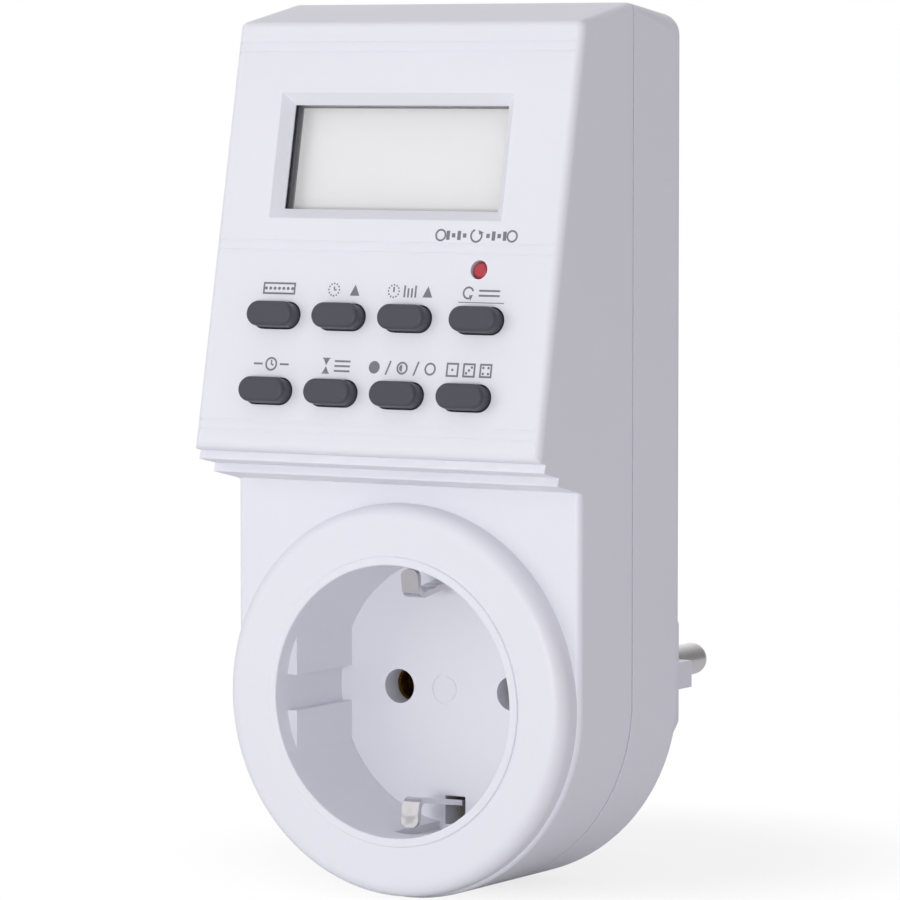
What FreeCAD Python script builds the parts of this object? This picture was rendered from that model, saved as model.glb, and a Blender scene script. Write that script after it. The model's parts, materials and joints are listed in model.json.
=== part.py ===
import FreeCAD, Part
import math
import os

# A plug-in timer: a box that plugs into a wall outlet, switches its own outlet and is set by keys
# The origin is midway between the plug pins, in the plug's end face
# +Y runs along the pins into the wall, +X is to the right seen from the front, +Z is up
# All sizes are in millimetres

V = FreeCAD.Vector

# Plug at the back
pin_spacing = 19.0
pin_dia = 4.8
pin_reach = 19.0
pin_tip_round = 2.0
pin_shoulder_dia = 5.4
pin_collar_dia = 6.8
pin_collar_length = 1.2
pin_tail_length = 4.8
plug_dia = 37.0
plug_across_flats = 34.0
plug_across_ribs = 38.4
plug_rib_width = 4.0
plug_reach = 20.0
plug_wall = 3.0
plug_edge_round = 0.9
plug_flange_margin = 1.8
plug_flange_thickness = 2.0
plug_boss_wall = 1.9
plug_boss_length = 5.0

# Outlet well in the front
outlet_dia = 39.0
outlet_depth = 17.5
outlet_across_flats = 35.4
outlet_land_setback = 2.6
outlet_groove_width = 5.2
outlet_hole_dia = 5.0
outlet_floor = 3.6
outlet_cup_wall = 1.8
outlet_rim_width = 1.3
outlet_rim_height = 0.3
outlet_rim_round = 0.24
mould_ring_dia = 4.4
mould_ring_width = 0.4
mould_ring_depth = 0.15
mould_ring_offset = 1.7

# Housing
body_width = 57.2
body_depth = 34.5
wall = 2.0
boss_inset = 0.5
boss_height = 3.8
boss_round = 2.2
seam_depth = 18.65
seam_gap_width = 0.4
seam_gap_depth = 0.35
tongue_thickness = 1.0
tongue_length = 2.0
tongue_root = 1.0
face_edge_round = 1.0
panel_edge_round = 1.2
back_edge_round = 3.0
back_corner_round = 3.4
panel_top_depth = 4.6
panel_top_height = 96.4
panel_length = 62.0
panel_tilt = 11.6
crest_rise = 2.7
back_drop = 1.6
underside_fall = 5.0
underside_soffits = 3
underside_first_run = 2.1
underside_next_run = 4.2
underside_riser = 1.2
underside_lean = 0.5
underside_nose_round = 0.25
panel_line_width = 0.4
panel_line_depth = 0.15
panel_line_gap = 1.4
panel_line_margin = 0.8
panel_line_places = (3.0, 31.8, 57.8)

# Clearances
moving_gap = 0.2
fitted_gap = 0.1
loose_gap = 0.3
thread_gap = 0.05

# Display, seen through the panel
bevel_width = 38.6
bevel_height = 18.2
bevel_depth = 1.4
bevel_lip = 0.2
bevel_slope_width = 1.55
display_across = -0.6
display_down = 19.3
display_frame_margin = 2.0
display_glass_width = 39.0
display_glass_height = 19.0
display_glass_depth = 4.2
display_glass_thickness = 2.2
display_glass_ledge = 1.0
window_thickness = 1.0
window_setback = 0.2
connector_width = 1.8
connector_inset = 1.5

# Keys and reset button
key_length = 7.7
key_height = 3.6
key_proud = 2.3
key_side_margin = 12.2
keys_across = -0.4
recall_key_shift = 0.8
key_row_pitch = 10.9
key_row_down = 42.5
key_edge_round = 0.55
key_flange_margin = 0.8
key_flange_thickness = 0.8
key_stem_inset = 0.7
key_travel = 0.8
dome_height = 1.6
dome_margin = 0.9
mat_thickness = 0.9
mat_end_margin = 0.3
reset_dia = 2.3
reset_side_margin = 12.7
reset_down = 35.3
reset_setback = 0.3
reset_round = 0.4
reset_travel = 0.5
reset_flange_dia = 4.0
reset_switch_size = 5.0
reset_switch_height = 1.9
reset_switch_chamfer = 0.4

# Control board, parallel to the panel
board_thickness = 1.6
board_side_gap = 1.5
control_depth = 8.8
control_top = 7.0
control_bottom = 58.0
control_post_dia = 3.4
control_post_inset = 1.9
control_post_top = 34.6
control_post_bottom = 55.5
battery_dia = 12.4
battery_thickness = 5.4
battery_round = 0.6
battery_edge_gap = 14.1
battery_down = 18.0
tab_thickness = 0.4
tab_width = 3.0
tab_overhang = 1.5
chip_dia = 11.0
chip_height = 1.5
chip_edge_gap = 16.1
chip_down = 31.0
crystal_dia = 2.1
crystal_length = 6.2
crystal_edge_gap = 5.1
crystal_down = 24.0
ribbon_width = 9.0
ribbon_thickness = 0.9
ribbon_bend = 3.0
ribbon_down = 44.0
ribbon_up = 28.5
ribbon_control_run = 5.0
ribbon_main_run = 8.0

# Main board, upright on the rear shell: places up its face are measured from its lower edge
main_top_gap = 12.4
main_height = 58.0
main_standoff = 4.0
main_post_dia = 5.0
main_post_inset = 3.5
main_post_up = 4.0
part_side_gap = 1.1
lead_dia = 0.8
lead_root = 3.0
dropper_width = 17.2
dropper_length = 8.4
dropper_height = 15.0
dropper_round = 0.8
dropper_up = 11.6
dropper_lead_span = 12.0
large_can_dia = 10.0
large_can_height = 12.0
large_can_up = 24.4
small_can_dia = 6.4
small_can_height = 8.0
small_can_up = 34.0
can_round = 0.6
disc_dia = 9.0
disc_thickness = 3.4
disc_round = 1.2
disc_can_gap = 2.6
disc_up = 23.6
disc_lead_span = 4.4
axial_lead_reach = 1.6
diode_dia = 2.6
diode_length = 5.0
diode_across = 9.0
diode_up = 33.0
resistor_dia = 2.4
resistor_length = 6.4
resistor_across = -8.0
resistor_up = 35.0
axial_pitch = 4.2
axial_count = 4
fuse_dia = 4.6
fuse_length = 9.0
fuse_edge_gap = 4.1
fuse_up = 25.6

# Relay on the main board: places across are measured from its middle, heights from the board
relay_width = 19.0
relay_length = 15.6
relay_height = 15.6
relay_up = 14.8
relay_wall = 0.8
relay_cover_round = 0.4
relay_base_height = 2.2
relay_base_lip = 0.6
relay_coil_across = -1.9
relay_coil_dia = 8.4
relay_coil_length = 6.2
relay_core_dia = 3.6
relay_core_top = 12.5
relay_core_gap = 0.5
relay_bobbin_dia = 9.2
relay_bobbin_wall = 0.35
relay_bobbin_flange = 0.8
relay_iron_thickness = 1.0
relay_iron_width = 7.0
relay_yoke_left = -8.4
relay_hinge_gap = 0.15
relay_armature_right = 0.6
relay_armature_side_gap = 0.3
relay_blade_thickness = 0.3
relay_blade_width = 3.0
relay_blade_lap = 6.5
relay_contact_across = 6.8
relay_contact_dia = 2.2
relay_contact_height = 0.9
relay_contact_opening = 1.0
relay_fixed_thickness = 0.6
relay_fixed_height = 0.45

# Parts that conduct
contact_bore_dia = 4.9
contact_wall = 0.6
contact_length = 14.0
contact_setback = 0.8
contact_slot_width = 0.8
contact_slot_end = 4.0
contact_strip_width = 4.0
carrier_thickness = 2.0
carrier_side_gap = 3.0
carrier_height = 22.0
carrier_arm_width = 13.0
carrier_arm_margin = 0.8
carrier_shroud_wall = 1.3
carrier_shroud_length = 3.7
carrier_post_dia = 3.6
carrier_post_inset = 2.2
carrier_post_lift = 8.6
carrier_peg_dia = 1.8
carrier_peg_length = 1.6
carrier_leg_across = 18.3
carrier_leg_dia = 2.6
earth_thickness = 0.8
earth_width = 2.8
earth_tip_round = 1.1
earth_bend = 1.3
earth_nose_depth = 5.5
earth_nose_reach = 14.6
earth_tab_reach = 18.6
earth_floor_reach = 16.4
earth_flare = 1.0
earth_recess_width = 5.2
earth_recess_reach = 20.4
earth_slot_inner_gap = 0.9
earth_slot_length = 4.2
strap_width = 5.0
strap_bend = 0.9
strap_reach = 17.0
strap_bulge_reach = 17.5
strap_root = 3.0
strap_channel_width = 9.0
strap_channel_reach = 16.2
link_dia = 3.2
wire_dia = 2.0
wire_bend = 2.4
wire_landing = 3.5
live_wire_shift = 3.6
live_wire_lift = 4.6
live_wire_slope = 2.6
load_wire_root = 3.0
load_wire_lift = 7.0
neutral_wire_gap = 0.4

# Screws
screw_dia = 2.6
screw_head_dia = 5.0
screw_head_height = 2.2
screw_length = 14.5
screw_sink = 5.5
screw_seat = 2.0
screw_post_dia = 4.8
screw_well_wall = 0.9
screw_inset = 4.0
screw_top_drop = 5.2
small_screw_dia = 1.8
small_head_dia = 3.4
small_head_height = 1.4
small_screw_length = 6.0
cross_width = 0.5
cross_depth_share = 0.45
cross_reach_share = 0.32

# Places along the depth, from the plug's end face
back_y = -plug_reach
boss_y = back_y - body_depth
face_y = boss_y + boss_height
seam_y = boss_y + seam_depth
floor_y = boss_y + outlet_depth
floor_back_y = floor_y + outlet_floor
rim_y = boss_y - outlet_rim_height
inner_back_y = back_y - wall
flange_y = inner_back_y - plug_flange_thickness
post_meeting_y = max(seam_y + wall, floor_back_y)
screw_seat_y = back_y - screw_sink
main_bottom = panel_top_height - main_top_gap - main_height
main_back_y = inner_back_y - main_standoff
main_front_y = main_back_y - board_thickness
carrier_front_y = floor_back_y + loose_gap
carrier_back_y = carrier_front_y + carrier_thickness
earth_base_y = carrier_back_y + earth_thickness / 2
strap_base_y = flange_y - loose_gap - earth_thickness / 2
contact_front_y = floor_back_y + contact_setback
contact_back_y = contact_front_y + contact_length
boss_end_y = -plug_wall - plug_boss_length
collar_y = boss_end_y - pin_collar_length
strip_y = carrier_back_y + carrier_shroud_length + loose_gap

# Places across
half_width = body_width / 2
half_inside = half_width - wall
half_pins = pin_spacing / 2
boss_dia = body_width - 2 * boss_inset
cup_dia = outlet_dia + 2 * outlet_cup_wall
key_reach = half_width - key_side_margin
reset_across = half_width - reset_side_margin
board_half = half_inside - board_side_gap
battery_across = board_half - battery_edge_gap
chip_across = chip_edge_gap - board_half
crystal_across = crystal_edge_gap - board_half
part_edge = board_half - part_side_gap
relay_across = relay_width / 2 - part_edge
disc_across = part_edge - large_can_dia - disc_can_gap - disc_thickness / 2
fuse_across = fuse_edge_gap + fuse_length / 2 - part_edge
screw_across = half_inside - screw_inset
screw_low = (cup_dia + screw_dia) / 2 / math.sqrt(2)
screw_well_dia = screw_head_dia + 2 * loose_gap + 2 * screw_well_wall

# Panel corners and the crest as (y, z)
tilt = math.radians(panel_tilt)
panel_top = (boss_y + panel_top_depth, panel_top_height)
panel_bottom = (panel_top[0] - panel_length * math.sin(tilt), panel_top[1] - panel_length * math.cos(tilt))
crest = (seam_y, panel_top_height + crest_rise)
underside_height = panel_bottom[1] - underside_fall
underside_end = (face_y, underside_height)

# Depths behind the panel's face
control_back = control_depth + board_thickness
key_flange_depth = wall + moving_gap
dome_top = control_depth - mat_thickness - dome_height
key_stem_end = dome_top - fitted_gap - key_travel
reset_stem_end = control_depth - reset_switch_height - fitted_gap - reset_travel
display_frame_depth = bevel_depth + bevel_lip
display_opening_width = bevel_width - 2 * bevel_slope_width
display_opening_height = bevel_height - 2 * bevel_slope_width
display_pocket_width = display_glass_width + 2 * fitted_gap
display_pocket_height = display_glass_height + 2 * fitted_gap
display_frame_width = display_pocket_width + 2 * display_frame_margin
display_frame_height = display_pocket_height + 2 * display_frame_margin
display_glass_back = display_glass_depth + display_glass_thickness

# Heights inside the relay
bobbin_bottom = relay_base_height + relay_iron_thickness
coil_bottom = bobbin_bottom + relay_bobbin_flange + fitted_gap
coil_top = coil_bottom + relay_coil_length
bobbin_top = coil_top + fitted_gap + relay_bobbin_flange
armature_bottom = relay_core_top + relay_core_gap
armature_top = armature_bottom + relay_iron_thickness

# Long enough to pass right through the housing
far = 3 * body_width

# Places of what repeats
sides = (-1, 1)
key_names = (
    ("day_key", "hour_key", "minute_key", "recall_key"),
    ("clock_key", "program_key", "mode_key", "shuffle_key"),
)
screw_top = (screw_across, panel_top_height - screw_top_drop)
screw_places = [(side * x, z) for x, z in (screw_top, (screw_low, -screw_low)) for side in sides]
control_posts = [
    (side * (board_half - control_post_inset), down)
    for side in sides
    for down in (control_post_top, control_post_bottom)
]
main_posts = [
    (side * (board_half - main_post_inset), z)
    for side in sides
    for z in (main_bottom + main_post_up, main_bottom + main_height - main_post_up)
]
carrier_half = half_inside - carrier_side_gap
carrier_posts = [
    (side * (carrier_half - carrier_post_inset), up * carrier_post_lift) for side in sides for up in sides
]


def key_places():
    for row, names in enumerate(key_names):
        pitch = 2 * key_reach / (len(names) - 1)
        for column, name in enumerate(names):
            shift = recall_key_shift if name == "recall_key" else 0.0
            yield name, keys_across + shift + column * pitch - key_reach, key_row_down + row * key_row_pitch


# Basic solids
def box(x0, x1, y0, y1, z0, z1):
    return Part.makeBox(x1 - x0, y1 - y0, z1 - z0, V(x0, y0, z0))


def rod(dia, y0, y1, x=0.0, z=0.0):
    return Part.makeCylinder(dia / 2, y1 - y0, V(x, y0, z), V(0, 1, 0))


def cross_rod(dia, x0, x1, y, z):
    return Part.makeCylinder(dia / 2, x1 - x0, V(x0, y, z), V(1, 0, 0))


def slab(y0, y1):
    return box(-far, far, y0, y1, -far, far)


def join(shapes):
    return shapes[0].multiFuse(shapes[1:]).removeSplitter()


def cut_all(shape, cuts):
    for cut in cuts:
        shape = shape.cut(cut)
    return shape


# Choosing edges by the box that bounds them
def near(a, b):
    return abs(a - b) < 0.01


def edges_where(shape, test):
    return [edge for edge in shape.Edges if test(edge.BoundBox)]


def edges_at_y(shape, y):
    return edges_where(shape, lambda b: near(b.YMin, y) and near(b.YMax, y))


# Lines through points, closed or open, with a tangent arc at each corner that has a radius
def rounded_edges(points, radii, closed):
    count = len(points)
    starts = list(points)
    ends = list(points)
    edges = []
    for i, corner in enumerate(points):
        if radii[i] <= 0:
            continue
        back = (points[i - 1] - corner).normalize()
        ahead = (points[(i + 1) % count] - corner).normalize()
        half = back.getAngle(ahead) / 2
        reach = radii[i] / math.tan(half)
        starts[i] = corner + back * reach
        ends[i] = corner + ahead * reach
        middle = corner + (back + ahead).normalize() * (radii[i] / math.sin(half) - radii[i])
        edges.append(Part.Arc(starts[i], middle, ends[i]).toShape())
    runs = count if closed else count - 1
    for i in range(runs):
        edges.append(Part.LineSegment(ends[i], starts[(i + 1) % count]).toShape())
    return Part.Wire(Part.__sortEdges__(edges))


# A prism along X over a closed run of points (y, z)
def prism(points, x0, x1, radii=None):
    corners = [V(x0, y, z) for y, z in points]
    loop = rounded_edges(corners, radii or [0.0] * len(points), True)
    return Part.Face(loop).extrude(V(x1 - x0, 0, 0))


# A sheet strip whose middle line runs through points (y, z), all its bends with one radius
def strip(points, thickness, bend, width):
    half = thickness / 2
    left = []
    right = []
    left_radii = []
    right_radii = []
    last = len(points) - 1
    for i, (y, z) in enumerate(points):
        before = points[i - 1] if i > 0 else (2 * y - points[1][0], 2 * z - points[1][1])
        after = points[i + 1] if i < last else (2 * y - before[0], 2 * z - before[1])
        into = V(0, y - before[0], z - before[1]).normalize()
        out = V(0, after[0] - y, after[1] - z).normalize()
        side = V(0, -into.z - out.z, into.y + out.y).normalize()
        reach = half / side.dot(V(0, -into.z, into.y))
        left.append((y + side.y * reach, z + side.z * reach))
        right.append((y - side.y * reach, z - side.z * reach))
        turn = into.y * out.z - into.z * out.y
        bent = 0 < i < last
        left_radii.append(bent * (bend - math.copysign(half, turn)))
        right_radii.append(bent * (bend + math.copysign(half, turn)))
    return prism(left + right[::-1], -width / 2, width / 2, left_radii + right_radii[::-1])


# A round wire along points, with arcs of one radius at its corners
def wire(points):
    corners = [V(*point) for point in points]
    radii = [0.0] + [wire_bend] * (len(corners) - 2) + [0.0]
    path = rounded_edges(corners, radii, False)
    ring = Part.Wire(Part.makeCircle(wire_dia / 2, corners[0], corners[1] - corners[0]))
    return path.makePipeShell([ring], True, False)


# A closed run of points (y, z), clockwise seen from +X, with each side moved inwards
def inset_points(points, inset):
    moved = []
    count = len(points)
    for i, (y, z) in enumerate(points):
        before = points[i - 1]
        after = points[(i + 1) % count]
        into = V(y - before[0], z - before[1], 0).normalize()
        out = V(after[0] - y, after[1] - z, 0).normalize()
        first = V(into.y, -into.x, 0)
        second = V(out.y, -out.x, 0)
        step = (first + second).normalize() * inset
        reach = step.dot(first) / inset if inset else 1.0
        moved.append((y + step.x / reach, z + step.y / reach))
    return moved


# The housing's outline seen from the front, moved inwards: straight sides over a half circle
def outline(inset, y0, y1):
    half = half_width - inset
    top = crest[1] + wall
    left = V(-half, y0, 0)
    right = V(half, y0, 0)
    arc = Part.Arc(left, V(0, y0, -half), right).toShape()
    corners = [right, V(half, y0, top), V(-half, y0, top), left]
    return Part.Face(Part.Wire([arc] + Part.makePolygon(corners).Edges)).extrude(V(0, y1 - y0, 0))


# The stepped underside from the panel's lower edge: each soffit drops a little, each riser leans out
def underside_points():
    risers = underside_soffits - 1
    whole_run = underside_end[0] - panel_bottom[0] + risers * underside_lean
    slope = (underside_fall - risers * underside_riser) / whole_run
    y, z = panel_bottom
    run = underside_first_run
    points = []
    for step in range(risers):
        points.append((y + run, z - run * slope))
        y += run - underside_lean
        z -= run * slope + underside_riser
        points.append((y, z))
        run = underside_next_run
    return points


# The blocks that the shells are cut from, each with all its sides moved inwards
def upper_block(inset, to_y, underside=()):
    slope = V(underside_end[0] - panel_bottom[0], underside_end[1] - panel_bottom[1], 0).normalize()
    buried = (underside_end[0] + slope.x * 2 * wall, underside_end[1] + slope.y * 2 * wall)
    rise = crest_rise / (crest[0] - panel_top[0])
    end_y = to_y + inset
    over = (end_y, crest[1] + rise * (end_y - seam_y))
    points = [panel_bottom, panel_top, over, (end_y, buried[1]), buried] + list(underside)
    half = half_width - inset
    return prism(inset_points(points, inset), -half, half)


def lower_block(inset, to_y):
    keep = box(-far, far, -far, far, -far, underside_height + 3 * wall)
    return outline(inset, face_y + inset, to_y).common(keep)


def front_block(inset, to_y):
    return join([upper_block(inset, to_y), lower_block(inset, to_y)])


def rear_block(inset, from_y):
    fall = back_drop / (back_y - seam_y)
    start_y = from_y - inset
    low = -body_width
    points = [
        (start_y, low),
        (start_y, crest[1] + fall * (seam_y - start_y)),
        (back_y, crest[1] - back_drop),
        (back_y, low),
    ]
    profile = prism(inset_points(points, inset), -far, far)
    return profile.common(outline(inset, from_y - wall, 0))


# Places on the panel: x across, depth inwards from its face, down from its top edge
def panel_box(x0, x1, depth0, depth1, down0, down1):
    return box(x0, x1, depth0, depth1, -down1, -down0)


def panel_rod(dia, x, down, depth0, depth1):
    return rod(dia, depth0, depth1, x, -down)


def on_panel(shape):
    placed = shape.copy()
    placed.rotate(V(0, 0, 0), V(1, 0, 0), -panel_tilt)
    placed.translate(V(0, panel_top[0], panel_top[1]))
    return placed


def panel_point(depth, down):
    y = panel_top[0] - down * math.sin(tilt) + depth * math.cos(tilt)
    z = panel_top[1] - down * math.cos(tilt) - depth * math.sin(tilt)
    return (y, z)


# A bar with round ends, standing in the panel
def stadium(length, height, x, down, depth0, depth1):
    reach = (length - height) / 2
    middle = panel_box(x - reach, x + reach, depth0, depth1, down - height / 2, down + height / 2)
    ends = [panel_rod(height, x + side * reach, down, depth0, depth1) for side in sides]
    return join([middle] + ends)


# Front shell: panel, lower face, boss and outlet well in one moulding
def front_outer():
    steps = underside_points()
    upper = upper_block(0.0, seam_y, [underside_end] + steps[::-1])
    side_edges = edges_where(
        upper,
        lambda b: near(abs(b.XMin), half_width)
        and near(b.XMin, b.XMax)
        and not near(b.YMin, b.YMax)
        and not near(b.ZMin, b.ZMax)
        and b.ZMax > panel_bottom[1] + underside_riser,
    )
    ends = edges_at_y(upper, panel_top[0]) + edges_at_y(upper, panel_bottom[0])
    upper = upper.makeFillet(panel_edge_round, side_edges + ends)
    for y, z in steps[1::2]:
        nose = [edge for edge in edges_at_y(upper, y) if near(edge.BoundBox.ZMin, z)]
        upper = upper.makeFillet(underside_nose_round, nose)
    lower = lower_block(0.0, seam_y)
    rim = [edge for edge in edges_at_y(lower, face_y) if edge.BoundBox.ZMin < underside_height]
    lower = lower.makeFillet(face_edge_round, rim)
    boss = rod(boss_dia, boss_y, seam_y)
    boss = boss.makeFillet(boss_round, edges_at_y(boss, boss_y))
    return cut_all(join([upper, lower, boss]), panel_lines())


# Pairs of fine moulded lines across the panel
def panel_lines():
    lines = []
    half = panel_line_width / 2
    reach = half_width - panel_line_margin
    for place in panel_line_places:
        for down in (place, place + panel_line_gap):
            lines.append(on_panel(panel_box(-reach, reach, -wall, panel_line_depth, down - half, down + half)))
    return lines


# The outlet well: a round mouth, flats at its sides, a groove in each flat and room for the springs
def well_hollow():
    round_part = rod(outlet_dia, rim_y - wall, floor_y)
    half = outlet_across_flats / 2
    groove = outlet_groove_width / 2
    recess = earth_recess_width / 2
    spring_y = boss_y + earth_nose_depth - earth_thickness
    return join([
        rod(outlet_dia, rim_y - wall, boss_y + outlet_land_setback),
        round_part.common(box(-half, half, -far, far, -far, far)),
        round_part.common(box(-far, far, -far, far, -groove, groove)),
        box(-recess, recess, spring_y, floor_y, -earth_recess_reach, earth_recess_reach),
    ])


def earth_slots(width, inner, outer, y0, y1):
    half = width / 2
    upper = box(-half, half, y0, y1, inner, outer)
    lower = box(-half, half, y0, y1, -outer, -inner)
    return [upper, lower]


def well_slots(y0, y1):
    inner = earth_floor_reach - earth_slot_inner_gap
    width = earth_width + 2 * loose_gap
    return earth_slots(width, inner, inner + earth_slot_length, y0, y1)


def mould_ring():
    y0 = floor_y - wall
    ring = rod(mould_ring_dia, y0, floor_y + mould_ring_depth, -mould_ring_offset)
    return ring.cut(rod(mould_ring_dia - 2 * mould_ring_width, y0, floor_y + wall, -mould_ring_offset))


# The display's opening, with a bevel all round
def bevel_cut():
    loops = []
    for slope, depth in ((0.0, 0.0), (bevel_slope_width, bevel_depth)):
        w = bevel_width / 2 - slope
        h = bevel_height / 2 - slope
        corners = [(-w, -h), (w, -h), (w, h), (-w, h), (-w, -h)]
        loops.append(Part.makePolygon([V(display_across + x, depth, z - display_down) for x, z in corners]))
    through = display_block(display_opening_width, display_opening_height, bevel_depth - fitted_gap, 2 * wall)
    seat_width = display_frame_width + 2 * fitted_gap
    seat_height = display_frame_height + 2 * fitted_gap
    seat = display_block(seat_width, seat_height, display_frame_depth, wall + fitted_gap)
    return on_panel(join([Part.makeLoft(loops, True, True), through, seat]))


def front_shell():
    shell = front_outer().cut(front_block(wall, seam_y))
    cup = rod(cup_dia, face_y, floor_back_y)
    posts = []
    for x, z in screw_places:
        start_y = face_y + wall / 2 if z < 0 else panel_top[0]
        posts.append(rod(screw_post_dia, start_y, post_meeting_y, x, z))
    for x, down in control_posts:
        posts.append(on_panel(panel_rod(control_post_dia, x, down, wall / 2, control_depth)))
    rim = rod(outlet_dia + 2 * outlet_rim_width, rim_y, face_y)
    rim = rim.makeFillet(outlet_rim_round, edges_at_y(rim, rim_y))
    shell = join([shell, cup, rim] + posts)
    through_floor = (floor_y - wall, floor_back_y + wall)
    cuts = [well_hollow(), mould_ring(), bevel_cut()] + well_slots(*through_floor)
    cuts += [rod(outlet_hole_dia, *through_floor, side * half_pins) for side in sides]
    for name, x, down in key_places():
        hole = stadium(key_length + 2 * moving_gap, key_height + 2 * moving_gap, x, down, -wall, 2 * wall)
        cuts.append(on_panel(hole))
    cuts.append(on_panel(panel_rod(reset_dia + 2 * moving_gap, reset_across, reset_down, -wall, 2 * wall)))
    for x, z in screw_places:
        tip_y = screw_seat_y - screw_length - loose_gap
        cuts.append(rod(screw_dia + 2 * thread_gap, tip_y, post_meeting_y + wall, x, z))
    for x, down in control_posts:
        tip = control_back - small_screw_length - loose_gap
        cuts.append(on_panel(panel_rod(small_screw_dia + 2 * thread_gap, x, down, tip, control_back)))
    shell = cut_all(shell, cuts)
    mouth = [edge for edge in edges_at_y(shell, rim_y) if near(edge.BoundBox.XLength, outlet_dia)]
    return shell.makeFillet(outlet_rim_round, mouth)


# Rear shell: back wall, sides, tongue, and posts for the boards, the contact carrier and the screws
def rear_outer():
    outer = rear_block(0.0, seam_y)
    for side in sides:
        top_edge = edges_where(
            outer,
            lambda b: near(b.XMin, side * half_width)
            and near(b.XMax, side * half_width)
            and not near(b.YMin, b.YMax)
            and b.ZMin > underside_height,
        )
        radii = [panel_edge_round, back_corner_round]
        if not near(top_edge[0].firstVertex().Point.y, seam_y):
            radii.reverse()
        outer = outer.makeFillet(radii[0], radii[1], top_edge)
    return outer.makeFillet(back_edge_round, edges_at_y(outer, back_y))


def tongue():
    outer_inset = wall + fitted_gap
    inner_inset = outer_inset + tongue_thickness
    front = front_block(outer_inset, seam_y).cut(front_block(inner_inset, seam_y))
    root = rear_block(wall, seam_y - wall).cut(rear_block(inner_inset, seam_y - wall))
    return [front.common(slab(seam_y - tongue_length, seam_y)), root.common(slab(seam_y, seam_y + tongue_root))]


def rear_posts():
    posts = []
    for x, z in screw_places:
        posts.append(rod(screw_post_dia, post_meeting_y + loose_gap, inner_back_y, x, z))
        posts.append(rod(screw_well_dia, screw_seat_y - screw_seat, inner_back_y, x, z))
    for x, z in main_posts:
        posts.append(rod(main_post_dia, main_back_y, inner_back_y, x, z))
    for x, z in carrier_posts:
        posts.append(rod(carrier_post_dia, carrier_back_y, inner_back_y, x, z))
        posts.append(rod(carrier_peg_dia, carrier_back_y - carrier_peg_length, inner_back_y, x, z))
    keep = rear_block(seam_gap_depth, seam_y - wall)
    return [post.common(keep) for post in posts]


def rear_shell():
    shell = rear_outer().cut(rear_block(wall, seam_y - wall))
    seam_gap = slab(seam_y, seam_y + seam_gap_width).cut(rear_block(seam_gap_depth, seam_y - wall))
    shell = join([shell.cut(seam_gap)] + tongue() + rear_posts())
    cuts = [plug_section(fitted_gap, inner_back_y - wall, back_y + wall)]
    for x, z in screw_places:
        cuts.append(rod(screw_head_dia + 2 * loose_gap, screw_seat_y, back_y + wall, x, z))
        cuts.append(rod(screw_dia + 2 * loose_gap, seam_y, screw_seat_y + wall, x, z))
    for x, z in main_posts:
        tip_y = main_front_y + small_screw_length + loose_gap
        cuts.append(rod(small_screw_dia + 2 * thread_gap, main_front_y, tip_y, x, z))
    return cut_all(shell, cuts)


# Plug body: the round block that enters the wall outlet, with a flange inside the rear shell
def plug_section(gap, y0, y1):
    half = plug_across_flats / 2 + gap
    rib = plug_rib_width / 2 + gap
    reach = plug_across_ribs / 2 + gap
    round_part = rod(plug_dia + 2 * gap, y0, y1)
    return join([round_part.common(box(-half, half, -far, far, -far, far)), box(-reach, reach, y0, y1, -rib, rib)])


def plug_body():
    body = plug_section(0.0, flange_y, 0)
    body = body.makeFillet(plug_edge_round, edges_at_y(body, 0))
    flange = rod(plug_dia + 2 * plug_flange_margin, flange_y, inner_back_y)
    notches = [rod(screw_well_dia + 2 * loose_gap, -far, far, x, z) for x, z in screw_places]
    hollow = rod(plug_across_flats - 2 * plug_wall, -far, -plug_wall)
    body = join([body, cut_all(flange, notches)]).cut(hollow)
    hole_dia = pin_shoulder_dia + 2 * thread_gap
    boss_dia_outer = hole_dia + 2 * plug_boss_wall
    bosses = [rod(boss_dia_outer, boss_end_y, -plug_wall / 2, side * half_pins) for side in sides]
    body = join([body] + bosses)
    cuts = [rod(hole_dia, -far, far, side * half_pins) for side in sides]
    cuts += earth_slots(strap_channel_width, strap_channel_reach, far, inner_back_y + wall / 2, far)
    slot_inner = strap_reach - earth_thickness / 2 - loose_gap
    slot_outer = strap_reach + earth_thickness / 2 + loose_gap
    cuts += earth_slots(strap_width + 2 * loose_gap, slot_inner, slot_outer, -far, back_y)
    return cut_all(body, cuts)


# Plug pins: each a turned pin with a shoulder in the plug body, a collar behind it and a tail
def plug_pin(side):
    x = side * half_pins
    pin = rod(pin_dia, 0, pin_reach, x)
    pin = pin.makeFillet(pin_tip_round, edges_at_y(pin, pin_reach))
    shoulder = rod(pin_shoulder_dia, boss_end_y, 0, x)
    collar = rod(pin_collar_dia, collar_y, boss_end_y, x)
    tail = rod(pin_dia, collar_y - pin_tail_length, collar_y, x)
    return pin.multiFuse([shoulder, collar, tail])


# Outlet contacts: a slotted brass sleeve behind each pin hole, with a flat strip on top
contact_top = contact_bore_dia / 2 + contact_wall
neutral_strip_y = flange_y - loose_gap - wire_dia - neutral_wire_gap


def contact_sleeve(x, strip_y0, strip_y1):
    half = contact_strip_width / 2
    sleeve = rod(2 * contact_top, contact_front_y, contact_back_y, x)
    tail = box(x - half, x + half, strip_y0, strip_y1, contact_bore_dia / 2, contact_top)
    bore = rod(contact_bore_dia, contact_front_y, contact_back_y, x)
    slot_half = contact_slot_width / 2
    slot_end_y = contact_back_y - contact_slot_end
    slot = box(x - slot_half, x + slot_half, contact_front_y, slot_end_y, -contact_top, 0)
    return cut_all(join([sleeve, tail]), [bore, slot])


def live_contact():
    return contact_sleeve(-half_pins, strip_y, strip_y + contact_strip_width)


def neutral_contact():
    return contact_sleeve(half_pins, neutral_strip_y, collar_y - loose_gap)


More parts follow.
